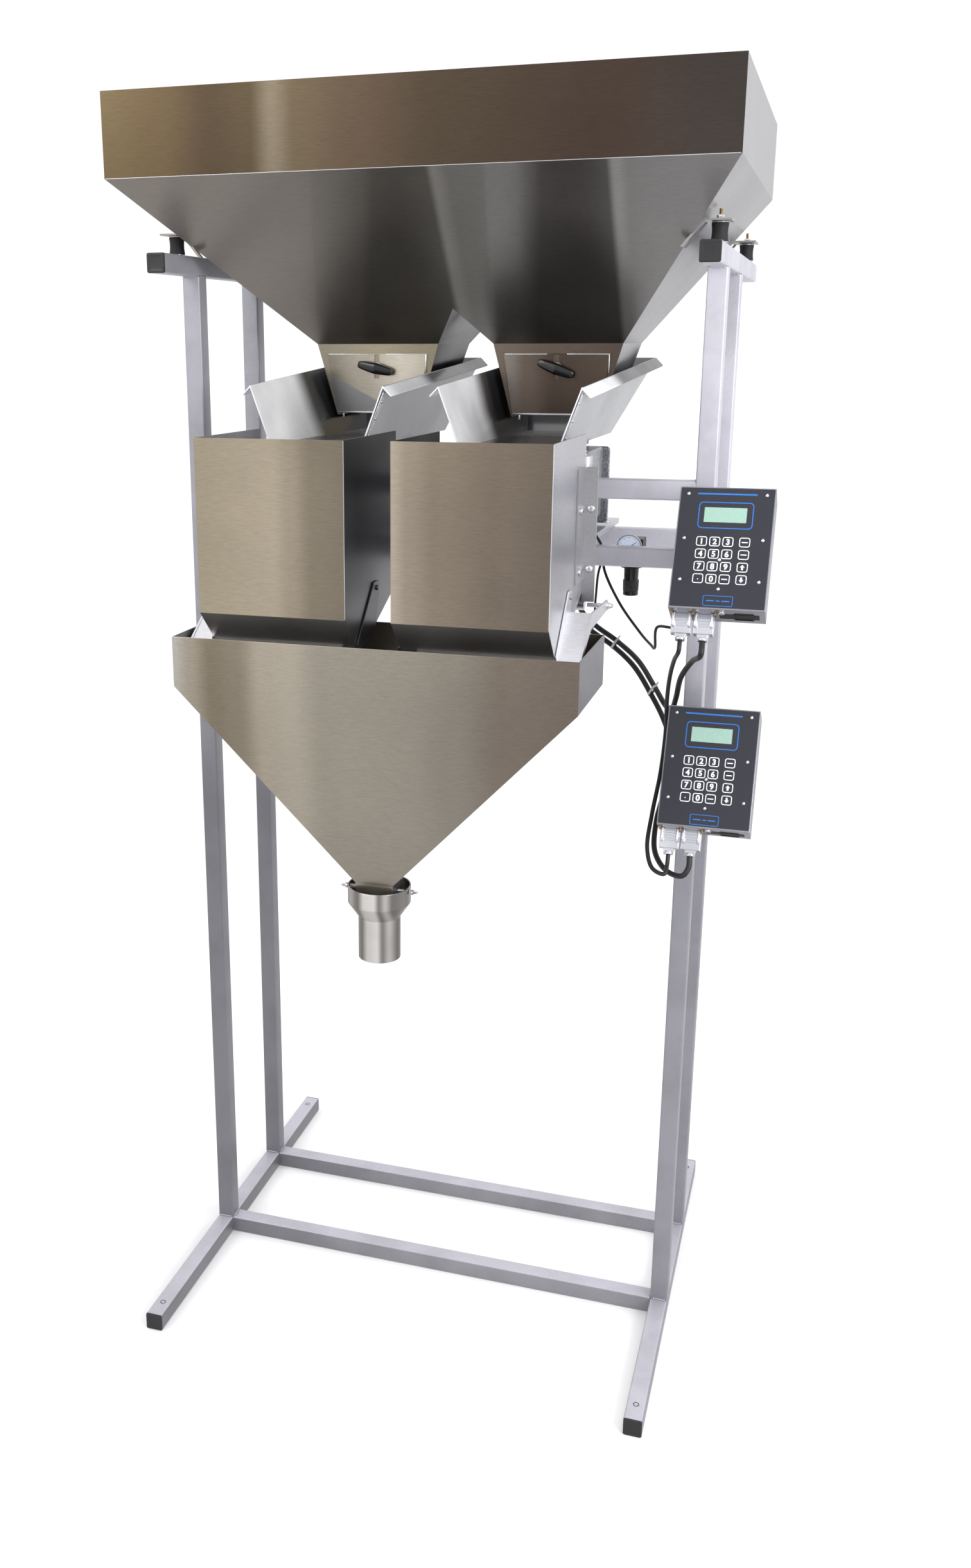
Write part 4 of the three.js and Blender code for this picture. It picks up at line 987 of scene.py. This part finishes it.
def build_drives():
    for side, _ in SIDES:
        node = f"feeder_drive_{side}"
        low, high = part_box(node)
        width = (high.x - low.x) / MM
        height = (high.z - low.z) / MM
        piece = Piece(node + "_casting", "frame", "hammertone", HAMMERTONE, BRIGHT_STEEL, PLATE_ALUMINIUM)
        centre_x = (low.x + high.x) / 2
        body_depth = (high.y - low.y) / MM - 8
        body_y = low.y + body_depth / 2 * MM
        body_width = width - 20
        rings = []
        for z, inset in ((18, 3), (20, 1), (23, 0), (height - 5, 0), (height - 2, 1), (height, 3.2)):
            rings.append(rounded(body_width - 2 * inset, body_depth - 2 * inset, 13 - inset, z, 8))
        piece.add(loft(rings), Matrix.Translation((centre_x, body_y, low.z)))
        foot = []
        for z, inset in ((0, 1), (1, 0), (19, 0)):
            foot.append(rounded(body_width - 40 - 2 * inset, body_depth - 20 - 2 * inset, 6 - inset, z))
        piece.add(loft(foot), Matrix.Translation((centre_x, body_y, low.z)))
        plate = slab(width, height - 4, 7, 8, 1.2)
        plate_place = Vector((centre_x, high.y - 0.008, low.z + height / 2 * MM + 0.002))
        piece.add(plate, aimed(plate_place, (0, 1, 0)))
        for x in (-1, 1):
            for z in (16, height - 14):
                spot = Vector((centre_x + x * (width / 2 - 12) * MM, high.y, low.z + z * MM))
                hex_bolt(piece, spot, (0, 1, 0), 9, 4, 1)
            spot = Vector((centre_x + x * (body_width / 2 - 10) * MM, low.y + 0.020, high.z))
            button_screw(piece, spot - Vector((0, 0, 0.0002)), (0, 0, 1), 3.2, 1)
        # Ribs down the casting's front.
        rib_y, rib_z = low.y - 0.0004, low.z + (height / 2 + 6) * MM
        for x in (-42, -14, 14, 42):
            rib = block(5, 3, height - 44, 1.2)
            piece.add(rib, Matrix.Translation((centre_x + x * MM, rib_y, rib_z)))
        piece.done(replaces=(node,))
        plate_node = f"base_plate_{side}"
        dress(plate_node, PLATE_ALUMINIUM, 0.8)
        p_low, p_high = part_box(plate_node)
        bolts = Piece(f"base_plate_bolts_{side}", "frame", "bright_steel", BRIGHT_STEEL)
        for x in (p_low.x + 0.014, p_high.x - 0.014):
            for y in (p_low.y + 0.016, p_high.y - 0.060):
                hex_bolt(bolts, Vector((x, y, p_high.z)), (0, 0, 1), 10, 4.5)
        bolts.done()


# ---- buckets -------------------------------------------------------------------
def build_buckets():
    for side, sign in SIDES:
        bucket = f"weigh_bucket_{side}"
        dress(bucket, BUCKET_SHEET, 0.7)
        screws = Piece(f"bucket_screws_{side}", "frame", "bright_steel", BRIGHT_STEEL)
        for z in (1518, 1424):
            button_screw(screws, at(sign * 283, -265.6, z), (0, -1, 0), 6.0)
            button_screw(screws, at(sign * 274.6, -306, z), (sign, 0, 0), 5.6)
            hex_bolt(screws, at(sign * 283, BUCKET_BACK, z + 22), (0, 1, 0), 8, 3.6)
        for x in (80, 130, 250):
            hex_bolt(screws, at(sign * x, BUCKET_BACK, 1560), (0, 1, 0), 8, 3.6)
        screws.done()

        # A thin bright rod down each bucket's right front corner: a painted highlight on the bent edge.
        edges = Piece(f"bucket_edge_highlight_{side}", "frame", "bright_steel", BRIGHT_STEEL)
        corner_x = 271.6 if sign > 0 else -35.9
        edges.add(swept([at(corner_x, -516.7, z) for z in (1371, 1500, 1631)], 0.55, 8))
        edges.done()

        door = f"bucket_door_{side}"
        dress(door, DOOR_STEEL, 0.4)
        pins = Piece(f"door_fasteners_{side}", door, "bright_steel", BRIGHT_STEEL)
        hex_bolt(pins, at(sign * 311, -248, 1364), (sign, 0, 0), 9, 4.4, 0, 3)
        button_screw(pins, at(sign * 290, -420, 1350.5), (0, -0.55, 0.83), 2.2)
        pins.done()


def build_actuators():
    for side, sign in SIDES:
        node = f"air_cylinder_{side}"
        low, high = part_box(node)
        axis = at(sign * 268, -248, 0)
        radius = 11
        length = (high.z - low.z) / MM
        piece = Piece(node + "_body", "frame", "aluminium", SATIN_STEEL, CAP_PLASTIC, BRASS)
        outer = [(6.2, 0), (9.6, 0), (radius, 1.0), (radius, 13), (9.8, 13.6), (9.8, 16), (10.4, 16.6)]
        outer += [(10.4, length - 17), (9.8, length - 16.4), (9.8, length - 14), (radius, length - 13.4)]
        outer += [(radius, length - 1.2), (9.8, length), (0, length)]
        bore = [(0, length - 12), (6.2, length - 12), (6.2, 0)]
        piece.add(turned([*bore, *outer], 40), Matrix.Translation((axis.x, axis.y, low.z)))
        clamp_low = (axis.x - 0.012, at(0, -259.5, 0).y, low.z + 0.010)
        clamp_high = (axis.x + 0.012, axis.y - 0.0085, low.z + 0.040)
        piece.add(box_between(clamp_low, clamp_high, 1.0))
        port = Vector((axis.x, axis.y + 0.0108, at(0, 0, 1590).z))
        piece.add(turned([(0, -1), (4, -1), (4, 3), (2.6, 3.6), (0, 3.6)], 20), aimed(port, (0, 1, 0)), 2)
        piece.done(replaces=(node,))
        dress(f"cylinder_rod_{side}", BRIGHT_STEEL, 0.5)


def build_load_cells():
    for side, sign in SIDES:
        dress(f"load_cell_{side}", PLATE_ALUMINIUM, 0.6)
        dress(f"scale_bracket_{side}", PLATE_ALUMINIUM, 0.8)
        screws = Piece(f"load_cell_screws_{side}", "frame", "bright_steel", BRIGHT_STEEL)
        for x in (102, 118, 202, 218):
            button_screw(screws, at(sign * x, -202.5, 1510), (0, 0, 1), 3.4)
        for x in (95, 155):
            for z in (1428, 1538):
                hex_bolt(screws, at(sign * x, RAIL_FACE, z), (0, -1, 0), 9, 4)
        screws.done()


# ---- chute and spout -----------------------------------------------------------
def build_chute():
    dress("discharge_chute", CHUTE_SHEET, 0.7)
    dress("chute_hanger", FRAME_PAINT, 0.6)
    bolts = Piece("chute_hanger_bolts", "frame", "bright_steel", BRIGHT_STEEL)
    for sign in (-1, 1):
        hex_bolt(bolts, at(sign * 238, RAIL_FACE, 1430), (0, -1, 0), 9, 4)
        for x in (60, 150, 210):
            hex_bolt(bolts, at(sign * x, -307.7, 1306), (0, 1, 0), 8, 3.4)
    bolts.done()


def build_spout():
    dress("spout", SPOUT_STEEL, 0.4)
    low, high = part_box("spout")
    centre = (low + high) / 2
    beads = Piece("spout_trim", "frame", "stainless", SPOUT_STEEL)
    ring_radius = (high.x - low.x) / 2 / MM
    roll = [
        centre + Vector((math.cos(t) * (ring_radius - 0.9), math.sin(t) * (ring_radius - 0.9), 0)) * MM
        for t in [math.tau * step / 96 for step in range(97)]
    ]
    rolled = [Vector((p.x, p.y, high.z - 0.0009)) for p in roll]
    beads.add(swept(rolled, 0.9, 8))
    beads.done()
    for side, sign in SIDES:
        node = f"thumbscrew_{side}"
        t_low, t_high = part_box(node)
        z = (t_low.z + t_high.z) / 2
        inner = t_low.x if sign > 0 else t_high.x
        outer = t_high.x if sign > 0 else t_low.x
        length = abs(outer - inner) / MM
        piece = Piece(node + "_wing", node, "stainless", BRIGHT_STEEL)
        place = aimed(Vector((inner, (t_low.y + t_high.y) / 2, z)), (sign, 0, 0))
        profile = [(0, 0)]
        threads = int((length - 12) / 0.9)
        for number in range(threads):
            profile += [(2.8, 0.9 * number + 0.1), (2.4, 0.9 * number + 0.55)]
        profile += [(2.8, length - 12), (4.4, length - 11.4), (4.4, length - 8), (0, length - 8)]
        piece.add(turned(profile, 20), place)
        rings = []
        for step in range(17):
            share = -1 + step / 8
            wide = 1.0 + 0.25 * math.cos(math.pi * share)
            waist = 3.4 + 2.4 * math.sin(math.pi * abs(share)) if abs(share) < 1 else 3.4
            ends = math.sqrt(max(0.03, 1 - share**4))
            turns = [math.tau * number / 16 for number in range(16)]
            rings.append([
                Vector((
                    share * 6.4,
                    1.4 * wide * ends * math.sin(t),
                    length - 6 + waist * ends * math.cos(t),
                )) * MM
                for t in turns
            ])
        piece.add(loft(rings), place)
        piece.done(replaces=(node,))


# ---- air regulator -------------------------------------------------------------
def build_regulator():
    dress("regulator_body", CAP_PLASTIC, 1.2, 3)
    low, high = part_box("regulator_knob")
    axis = Vector(((low.x + high.x) / 2, (low.y + high.y) / 2, low.z))
    knob = Piece("regulator_knob_grip", "regulator_knob", "black_plastic", KNOB_PLASTIC)
    top = (high.z - low.z) / MM
    ribs = 28
    rings = []
    levels = (
        (0, 8.5, 0),
        (0.6, 11.8, 0.1),
        (1.4, 12.8, 0.1),
        (6.5, 12.9, 0.1),
        (7.5, 12.2, 0.4),
        (8.5, 13.0, 0.8),
        (top - 22, 13.5, 0.8),
        (top - 21, 13.3, 0.1),
        (top - 19, 12.0, 0),
        (top - 2, 12.4, 0),
        (top, 11.6, 0),
    )
    for z, reach, depth in levels:
        ring = []
        for step in range(ribs * 4):
            turn = math.tau * step / (ribs * 4)
            r = reach - depth * (0.5 + 0.5 * math.cos(turn * ribs))
            ring.append(Vector((r * math.cos(turn), r * math.sin(turn), z)) * MM)
        rings.append(ring)
    knob.add(loft(rings), Matrix.Translation(axis))
    knob.done(replaces=("regulator_knob",), sharp=50)
    collar = Piece("regulator_collar", "frame", "black_plastic", CAP_PLASTIC)
    ring = [(0, 0), (17.6, 0), (20.4, 1.4), (20.8, 3), (20.8, 9), (20.2, 10.4), (19, 11), (0, 11)]
    collar.add(turned(ring, 48), Matrix.Translation(axis + Vector((0, 0, (top + 1.2) * MM))))
    collar.done()

    low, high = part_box("pressure_gauge")
    radius = (high.x - low.x) / 2 / MM
    depth = (high.y - low.y) / MM
    back = Vector(((low.x + high.x) / 2, high.y, (low.z + high.z) / 2))
    place = aimed(back, (0, -1, 0))
    gauge = Piece("pressure_gauge_dial", "frame", "gauge", BRIGHT_STEEL, DIAL_FACE_PAINTED_GLOW, DIAL_INK, BLUE_INK)
    case = [(0, 0), (radius * 0.86, 0), (radius * 0.93, 1.5), (radius * 0.93, depth - 5)]
    case += [(radius, depth - 4.4), (radius, depth - 0.8), (radius * 0.96, depth)]
    case += [(radius * 0.89, depth - 0.4), (radius * 0.88, depth - 2.6), (0, depth - 2.6)]
    gauge.add(turned(case, 48), place)
    dial_radius = radius * 0.87
    dial = [(0, depth - 2.7), (dial_radius, depth - 2.7), (dial_radius, depth - 2.3), (0, depth - 2.3)]
    gauge.add(turned(dial, 48), place, 1)
    for number in range(41):
        turn = math.radians(225 - 270 * number / 40)
        long_mark = number % 5 == 0
        size = (3.0 if long_mark else 1.7, 0.5 if long_mark else 0.3, 0.2)
        reach = radius * 0.8 - size[0] / 2
        mark = Matrix.Rotation(turn, 4, "Z") @ Matrix.Translation((reach * MM, 0, (depth - 2.2) * MM))
        gauge.add(block(*size, 0.05), place @ mark, 2)
    for number in range(21):
        turn = math.radians(225 - 270 * number / 20)
        mark = Matrix.Rotation(turn, 4, "Z") @ Matrix.Translation((radius * 0.5 * MM, 0, (depth - 2.2) * MM))
        gauge.add(block(1.2, 0.3, 0.2, 0.05), place @ mark, 3)
    needle_place = Matrix.Translation((radius * 0.27 * MM, 0, (depth - 1.8) * MM))
    needle = Matrix.Rotation(math.radians(35), 4, "Z") @ needle_place
    gauge.add(block(radius * 0.78, 1.0, 0.3, 0.1), place @ needle, 2)
    hub = [(0, depth - 2.2), (2.2, depth - 2.2), (2.0, depth - 1.2), (0, depth - 1.1)]
    gauge.add(turned(hub, 20), place, 2)
    gauge.done(replaces=("pressure_gauge",))


# ---- controllers ---------------------------------------------------------------
KEY_COLUMNS = (40.4, 60.2, 80.0, 105.0)
KEY_ROWS = (108.8, 88.8, 68.5, 48.5)
KEY_LABELS = ("123-", "456/", "789^", ".0=v")
PANEL_SCREWS = (
    (13.5, 186), (131.5, 186), (13.5, 113), (131.5, 113),
    (13.5, 46), (131.5, 46), (70, 79.5), (72.5, 32.5),
)


def glyph(text, size, depth):
    """A raised digit, centred on the axis."""
    curve = bpy.data.curves.new("glyph", "FONT")
    curve.body = text
    curve.size = size * MM
    curve.extrude = depth * MM / 2
    curve.offset = 0.0004
    holder = bpy.data.objects.new("glyph", curve)
    bpy.context.scene.collection.objects.link(holder)
    bpy.context.view_layer.update()
    mesh = bpy.data.meshes.new_from_object(holder.evaluated_get(bpy.context.evaluated_depsgraph_get()))
    form = bmesh.new()
    form.from_mesh(mesh)
    bmesh.ops.remove_doubles(form, verts=form.verts, dist=1e-7)
    xs = [vert.co.x for vert in form.verts]
    ys = [vert.co.y for vert in form.verts]
    centre = Vector(((min(xs) + max(xs)) / 2, (min(ys) + max(ys)) / 2, -depth * MM / 2))
    bmesh.ops.translate(form, vec=-centre, verts=form.verts)
    bpy.data.objects.remove(holder)
    bpy.data.curves.remove(curve)
    bpy.data.meshes.remove(mesh)
    return form


def arrow(up):
    """A raised arrow, centred on the axis."""
    points = [(-1.4, -4), (1.4, -4), (1.4, 0.2), (3.6, 0.2), (0, 4.2), (-3.6, 0.2), (-1.4, 0.2)]
    if not up:
        points = [(-x, -y) for x, y in points]
    rings = [[Vector((x, y, z)) * MM for x, y in points] for z in (0, 0.25)]
    return loft(rings)


def build_controllers():
    for level in ("upper", "lower"):
        node = f"controller_{level}"
        dress(node, CASE_METAL, 0.8)
        place = panel_matrix(level)

        def spot(x, y, z=0.0):
            return place @ Matrix.Translation((x * MM, y * MM, z * MM))

        finishes = (OVERLAY_FILM, KEY_INK_PAINTED_GLOW, BLUE_INK, SCREEN, RECESS_PAINTED_SHADE, BRIGHT_STEEL, BRASS)
        panel = Piece(f"{node}_panel", "frame", "casing", *finishes)
        film = 0.7
        centre = (PANEL_WIDTH / 2, PANEL_HEIGHT / 2 + 0.5)
        panel.add(slab(PANEL_WIDTH - 3.6, PANEL_HEIGHT - 5, 1.5, film, 0.15), spot(*centre, 0.05), 0)
        panel.add(outline(83, 43.5, 6.5, 1.5, 0.22), spot(72.7, 151.6, film), 2)
        panel.add(slab(64, 24.2, 0.8, 0.35, 0.1), spot(72.2, 152.2, film), 3)
        panel.add(slab(90, 2.6, 1.2, 0.2, 0.08), spot(72.5, 186.5, film), 2)
        panel.add(outline(45, 17, 2.5, 1.0, 0.2), spot(73.5, 13.5, film), 2)
        for x, width in ((62, 12), (73.5, 6), (85, 12)):
            panel.add(slab(width, 1.8, 0.8, 0.2, 0.06), spot(x, 13.5, film), 2)
        for row, labels in zip(KEY_ROWS, KEY_LABELS):
            for column, label in zip(KEY_COLUMNS, labels):
                panel.add(outline(16.2, 15.4, 3.6, 1.2, 0.22), spot(column, row, film), 1)
                if label.isdigit():
                    panel.add(glyph(label, 12.5, 0.22), spot(column, row, film), 1)
                elif label in "^v":
                    panel.add(arrow(label == "^"), spot(column, row, film), 1)
                elif label == ".":
                    point = turned([(0, 0), (0.9, 0), (0.8, 0.22), (0, 0.22)], 16)
                    panel.add(point, spot(column, row - 1, film), 1)
                else:
                    panel.add(slab(9, 1.6, 0.6, 0.22, 0.06), spot(column, row, film), 1)
        for x, y in PANEL_SCREWS:
            dome_screw(panel, spot(x, y, film), 2.8, 5)
        # The power inlet's recess, a dark plate and rim painted as shade, and the small round fitting beside
        # it, on the underside.
        down = Matrix.Rotation(math.pi / 2, 4, "X")
        panel.add(slab(60, 21, 1, 0.6, 0.2), spot(106, 0.1, -31) @ down, 4)
        panel.add(outline(30, 26, 2, 2, 1.6), spot(113, 0, -31) @ down, 4)
        fitting = [(0, 0), (5.2, 0), (5.2, 2.2), (4.4, 3), (2.4, 3), (2.4, 1.4), (0, 1.4)]
        panel.add(turned(fitting, 28), spot(80, 0, -12) @ down, 5)
        for x in (5, 37.5, 71.5):
            panel.add(turned([(0, 0), (2.6, 0), (2.6, 4), (2, 4.6), (0, 4.6)], 6), spot(x, 0, -14) @ down, 6)
        for y in (40, 99, 158):
            panel.add(turned([(0, 0), (2.8, 0), (2.6, 1.0), (1.4, 1.5), (0, 1.6)], 20),
                      spot(PANEL_WIDTH - 1.6, y, -20) @ Matrix.Rotation(math.pi / 2, 4, "Y"), 5)
        panel.done()

        for index, left in ((1, 4.5), (2, 38.5)):
            hood = f"connector_{level}_{index}"
            dress(hood, CHROME_HOOD, 1.4, 3)
            trim = Piece(f"{hood}_trim", "frame", "connector", CHROME_HOOD, BRIGHT_STEEL, BRASS)
            for x in (left + 3.4, left + 27.6):
                screw = [(0, 0), (2.7, 0), (2.7, 5), (2.2, 5.6), (2.2, 12)]
                screw += [(3.0, 12.4), (3.0, 20), (2.4, 20.8), (0, 20.8)]
                panel_spot = spot(x, -1, -21.4) @ down
                trim.add(turned(screw, 18), panel_spot, 1)
            for step in range(4):
                trim.add(block(22 - step, 1.6, 1.2, 0.4), spot(left + 15.5, -8 - 4 * step, -24.6), 0)
            collar = [(0, 0), (7.6, 0), (8, 0.8), (8, 4.2), (7.4, 5), (0, 5)]
            trim.add(turned(collar, 28), spot(left + 15.5, -37, CORD_PLANE) @ down, 0)
            trim.done()


# ---- cables and the air hose ---------------------------------------------------
PLUG_END = -42.3  # how far up a controller's face its plugs end; below its lower edge is negative
# Each cable's diameter and its route. A point is as at() takes it, or it is a controller's level with a
# place across and up its face, CORD_PLANE behind it.
CABLES = {
    "cable_scale": (4.5, (
        (225.3, -203, 1495), (242, -203, 1495), (262, -160, 1474), (268, -127, 1460), (277, -98, 1430),
        (279, -95, 1400), (310, -120, 1349), (352, -160, 1308), (378, -215, 1299), (390, -255, 1303),
        ("upper", -16, -22), ("upper", 4.2, -22),
    )),
    "air_hose": (4.0, (
        (300.7, -66, 1432), (284, -68, 1430), (270, -84, 1400), (266, -90, 1350), (268, -115, 1306),
        (263, -160, 1300), (262, -200, 1340), (266, -214, 1420), (268, -212, 1465), (268, -222, 1480),
        (268, -236.7, 1480),
    )),
    "cable_upper": (9.0, (
        (214, -62, 1443), (214, -62, 1412), (234, -62, 1326), (262, -67, 1298), (303, -78, 1274),
        (343, -93, 1245), (375, -107, 1204), (396, -124, 1178), (410, -152, 1178), (418, -172, 1202),
        (428, -206, 1246), (448, -246, 1282), ("upper", 54, -62), ("upper", 54, PLUG_END),
    )),
    "cable_lower": (9.0, (
        (196, -62, 1443), (196, -62, 1408), (220, -60, 1312), (256, -60, 1285), (296, -68, 1262),
        (335, -82, 1232), (367, -96, 1190), (394, -116, 1150), (414, -152, 1108), (410, -190, 1050),
        (402, -218, 1002), (406, -252, 962), (430, -284, 942), (458, -304, 944), ("lower", 54, -60),
        ("lower", 54, PLUG_END),
    )),
    "cable_link": (7.0, (
        ("upper", 20, PLUG_END), ("upper", 20, -58), (422, -262, 1286), (412, -220, 1250),
        (406, -190, 1206), (405, -178, 1144), (403, -204, 1082), (397, -240, 1022), (396, -274, 974),
        (410, -303, 950), (430, -313, 947), ("lower", 20, -58), ("lower", 20, PLUG_END),
    )),
}


def route_point(point):
    """A route's point in metres, from a place in the frame or on a controller."""
    if point[0] in ("upper", "lower"):
        return on_panel(*point, CORD_PLANE)
    return at(*point)


def build_cables():
    for name, (diameter, points) in CABLES.items():
        route = smooth_route([route_point(point) for point in points])
        piece = Piece(f"{name}_jacket", "frame", "cable", CABLE_JACKET)
        piece.add(swept(route, diameter / 2, 16))
        jacket = piece.done(replaces=(name,))

    ties = Piece("cable_ties", "frame", "cable", TIE_NYLON)
    wraps = (
        (at(303, -78, 1274), at(296, -68, 1262), (0.8, -0.25, -0.55)),
        (at(375, -107, 1204), at(367, -96, 1190), (0.5, -0.25, -0.8)),
    )
    for upper, lower, along in wraps:
        half = (upper - lower).length / 2 / MM
        across_both = (upper - lower).normalized()
        along = Vector(along).normalized()
        side = along.cross(across_both).normalized()
        turn = Matrix((across_both, side, along)).transposed().to_4x4()
        band = [rounded(2 * half + 10.6, 10.6, 5.2, z, 8) for z in (-2, 2)]
        inner = [rounded(2 * half + 9.0, 9.0, 4.4, z, 8) for z in (2, -2)]
        form = loft([*band, *inner, band[0]], capped=False)
        ties.add(form, Matrix.Translation((upper + lower) / 2) @ turn)
        tail = block(1.6, 4, 12, 0.5)
        tail_place = Matrix.Translation((upper + lower) / 2 + across_both * (half + 9) * MM)
        ties.add(tail, tail_place @ turn @ Matrix.Rotation(math.pi / 2, 4, "Y"))
    ties.done()


# ---- stage and light -----------------------------------------------------------
def build_stage():
    shader = Shader("stage_paper", Roughness=0.9)
    speckle = shader.noise(shader.point, 3.0, 2.0, 0.5)
    shade = shader.ramp(speckle, [(0.3, linear(243, 243, 244)), (0.7, linear(247, 247, 247))])
    shader.put(shader.surface.inputs["Base Color"], shade)
    profile = [(-6.0, 0.0), (3.2, 0.0)]
    bend = 1.6
    for step in range(1, 13):
        turn = math.pi / 2 * step / 12
        profile.append((3.2 + bend * math.sin(turn), bend - bend * math.cos(turn)))
    profile.append((3.2 + bend, 9.0))
    form = bmesh.new()
    rows = [[form.verts.new((x, y, z - 0.0005)) for x in (-9, 9)] for y, z in profile]
    for near, far in zip(rows, rows[1:]):
        face = form.faces.new((near[0], near[1], far[1], far[0]))
        face.smooth = True
    mesh = bpy.data.meshes.new("stage_floor")
    form.to_mesh(mesh)
    form.free()
    mesh.materials.append(shader.material)
    floor = bpy.data.objects.new("stage_floor", mesh)
    bpy.context.scene.collection.objects.link(floor)
    floor.visible_glossy = False


def softbox(name, place, target, width, height, power, color):
    data = bpy.data.lights.new(name, "AREA")
    data.shape = "RECTANGLE"
    data.size = width
    data.size_y = height
    data.energy = power
    data.color = color
    light = bpy.data.objects.new(name, data)
    light.location = place
    light.rotation_euler = (Vector(target) - Vector(place)).to_track_quat("-Z", "Y").to_euler()
    bpy.context.scene.collection.objects.link(light)


# Share of the way from straight down to straight up, and how bright the surroundings are there.
SKY_STOPS = ((0.0, 0.72), (0.15, 0.8), (0.36, 1.0), (0.5, 1.04), (0.7, 1.08), (1.0, 1.15))
SKY_STRENGTH = 0.92
# Name, place, the point it looks at, width, height, watts and colour.
SOFTBOXES = (
    ("key", (-2.6, -3.4, 3.6), (0, 0, 1.2), 2.2, 2.2, 60, (1.0, 0.985, 0.96)),
    ("fill", (3.4, -2.2, 2.6), (0, 0, 1.2), 2.4, 2.4, 85, (0.97, 0.98, 1.0)),
    ("top", (0.4, 0.6, 4.6), (0, 0, 1.0), 3.2, 3.2, 60, (1, 1, 1)),
    ("pan_fill", (1.9, -1.5, 1.95), (-0.1, -0.15, 1.68), 0.5, 0.5, 9, (1, 1, 1)),
)


def build_light():
    world = bpy.data.worlds.new("studio")
    bpy.context.scene.world = world
    world.use_nodes = True
    tree = world.node_tree
    tree.nodes.clear()
    coords = tree.nodes.new("ShaderNodeTexCoord")
    split = tree.nodes.new("ShaderNodeSeparateXYZ")
    height = tree.nodes.new("ShaderNodeMapRange")
    ramp = tree.nodes.new("ShaderNodeValToRGB")
    sky = tree.nodes.new("ShaderNodeBackground")
    output = tree.nodes.new("ShaderNodeOutputWorld")
    height.inputs["From Min"].default_value = -1
    elements = ramp.color_ramp.elements
    while len(elements) < len(SKY_STOPS):
        elements.new(0.5)
    for element, (place, value) in zip(elements, SKY_STOPS):
        element.position = place
        element.color = (value, value, value * 1.01, 1)
    tree.links.new(coords.outputs["Generated"], split.inputs[0])
    tree.links.new(split.outputs["Z"], height.inputs["Value"])
    tree.links.new(height.outputs[0], ramp.inputs[0])
    tree.links.new(ramp.outputs["Color"], sky.inputs["Color"])
    tree.links.new(sky.outputs[0], output.inputs["Surface"])
    sky.inputs["Strength"].default_value = SKY_STRENGTH
    for box in SOFTBOXES:
        softbox(*box)
    settings = bpy.context.scene.view_settings
    settings.view_transform = "Standard"
    settings.exposure = 0.0


build_frame()
build_welds()
build_isolators()
build_hopper()
build_gates()
build_trays()
build_drives()
build_buckets()
build_actuators()
build_load_cells()
build_chute()
build_spout()
build_regulator()
build_controllers()
build_cables()
build_stage()
build_light()
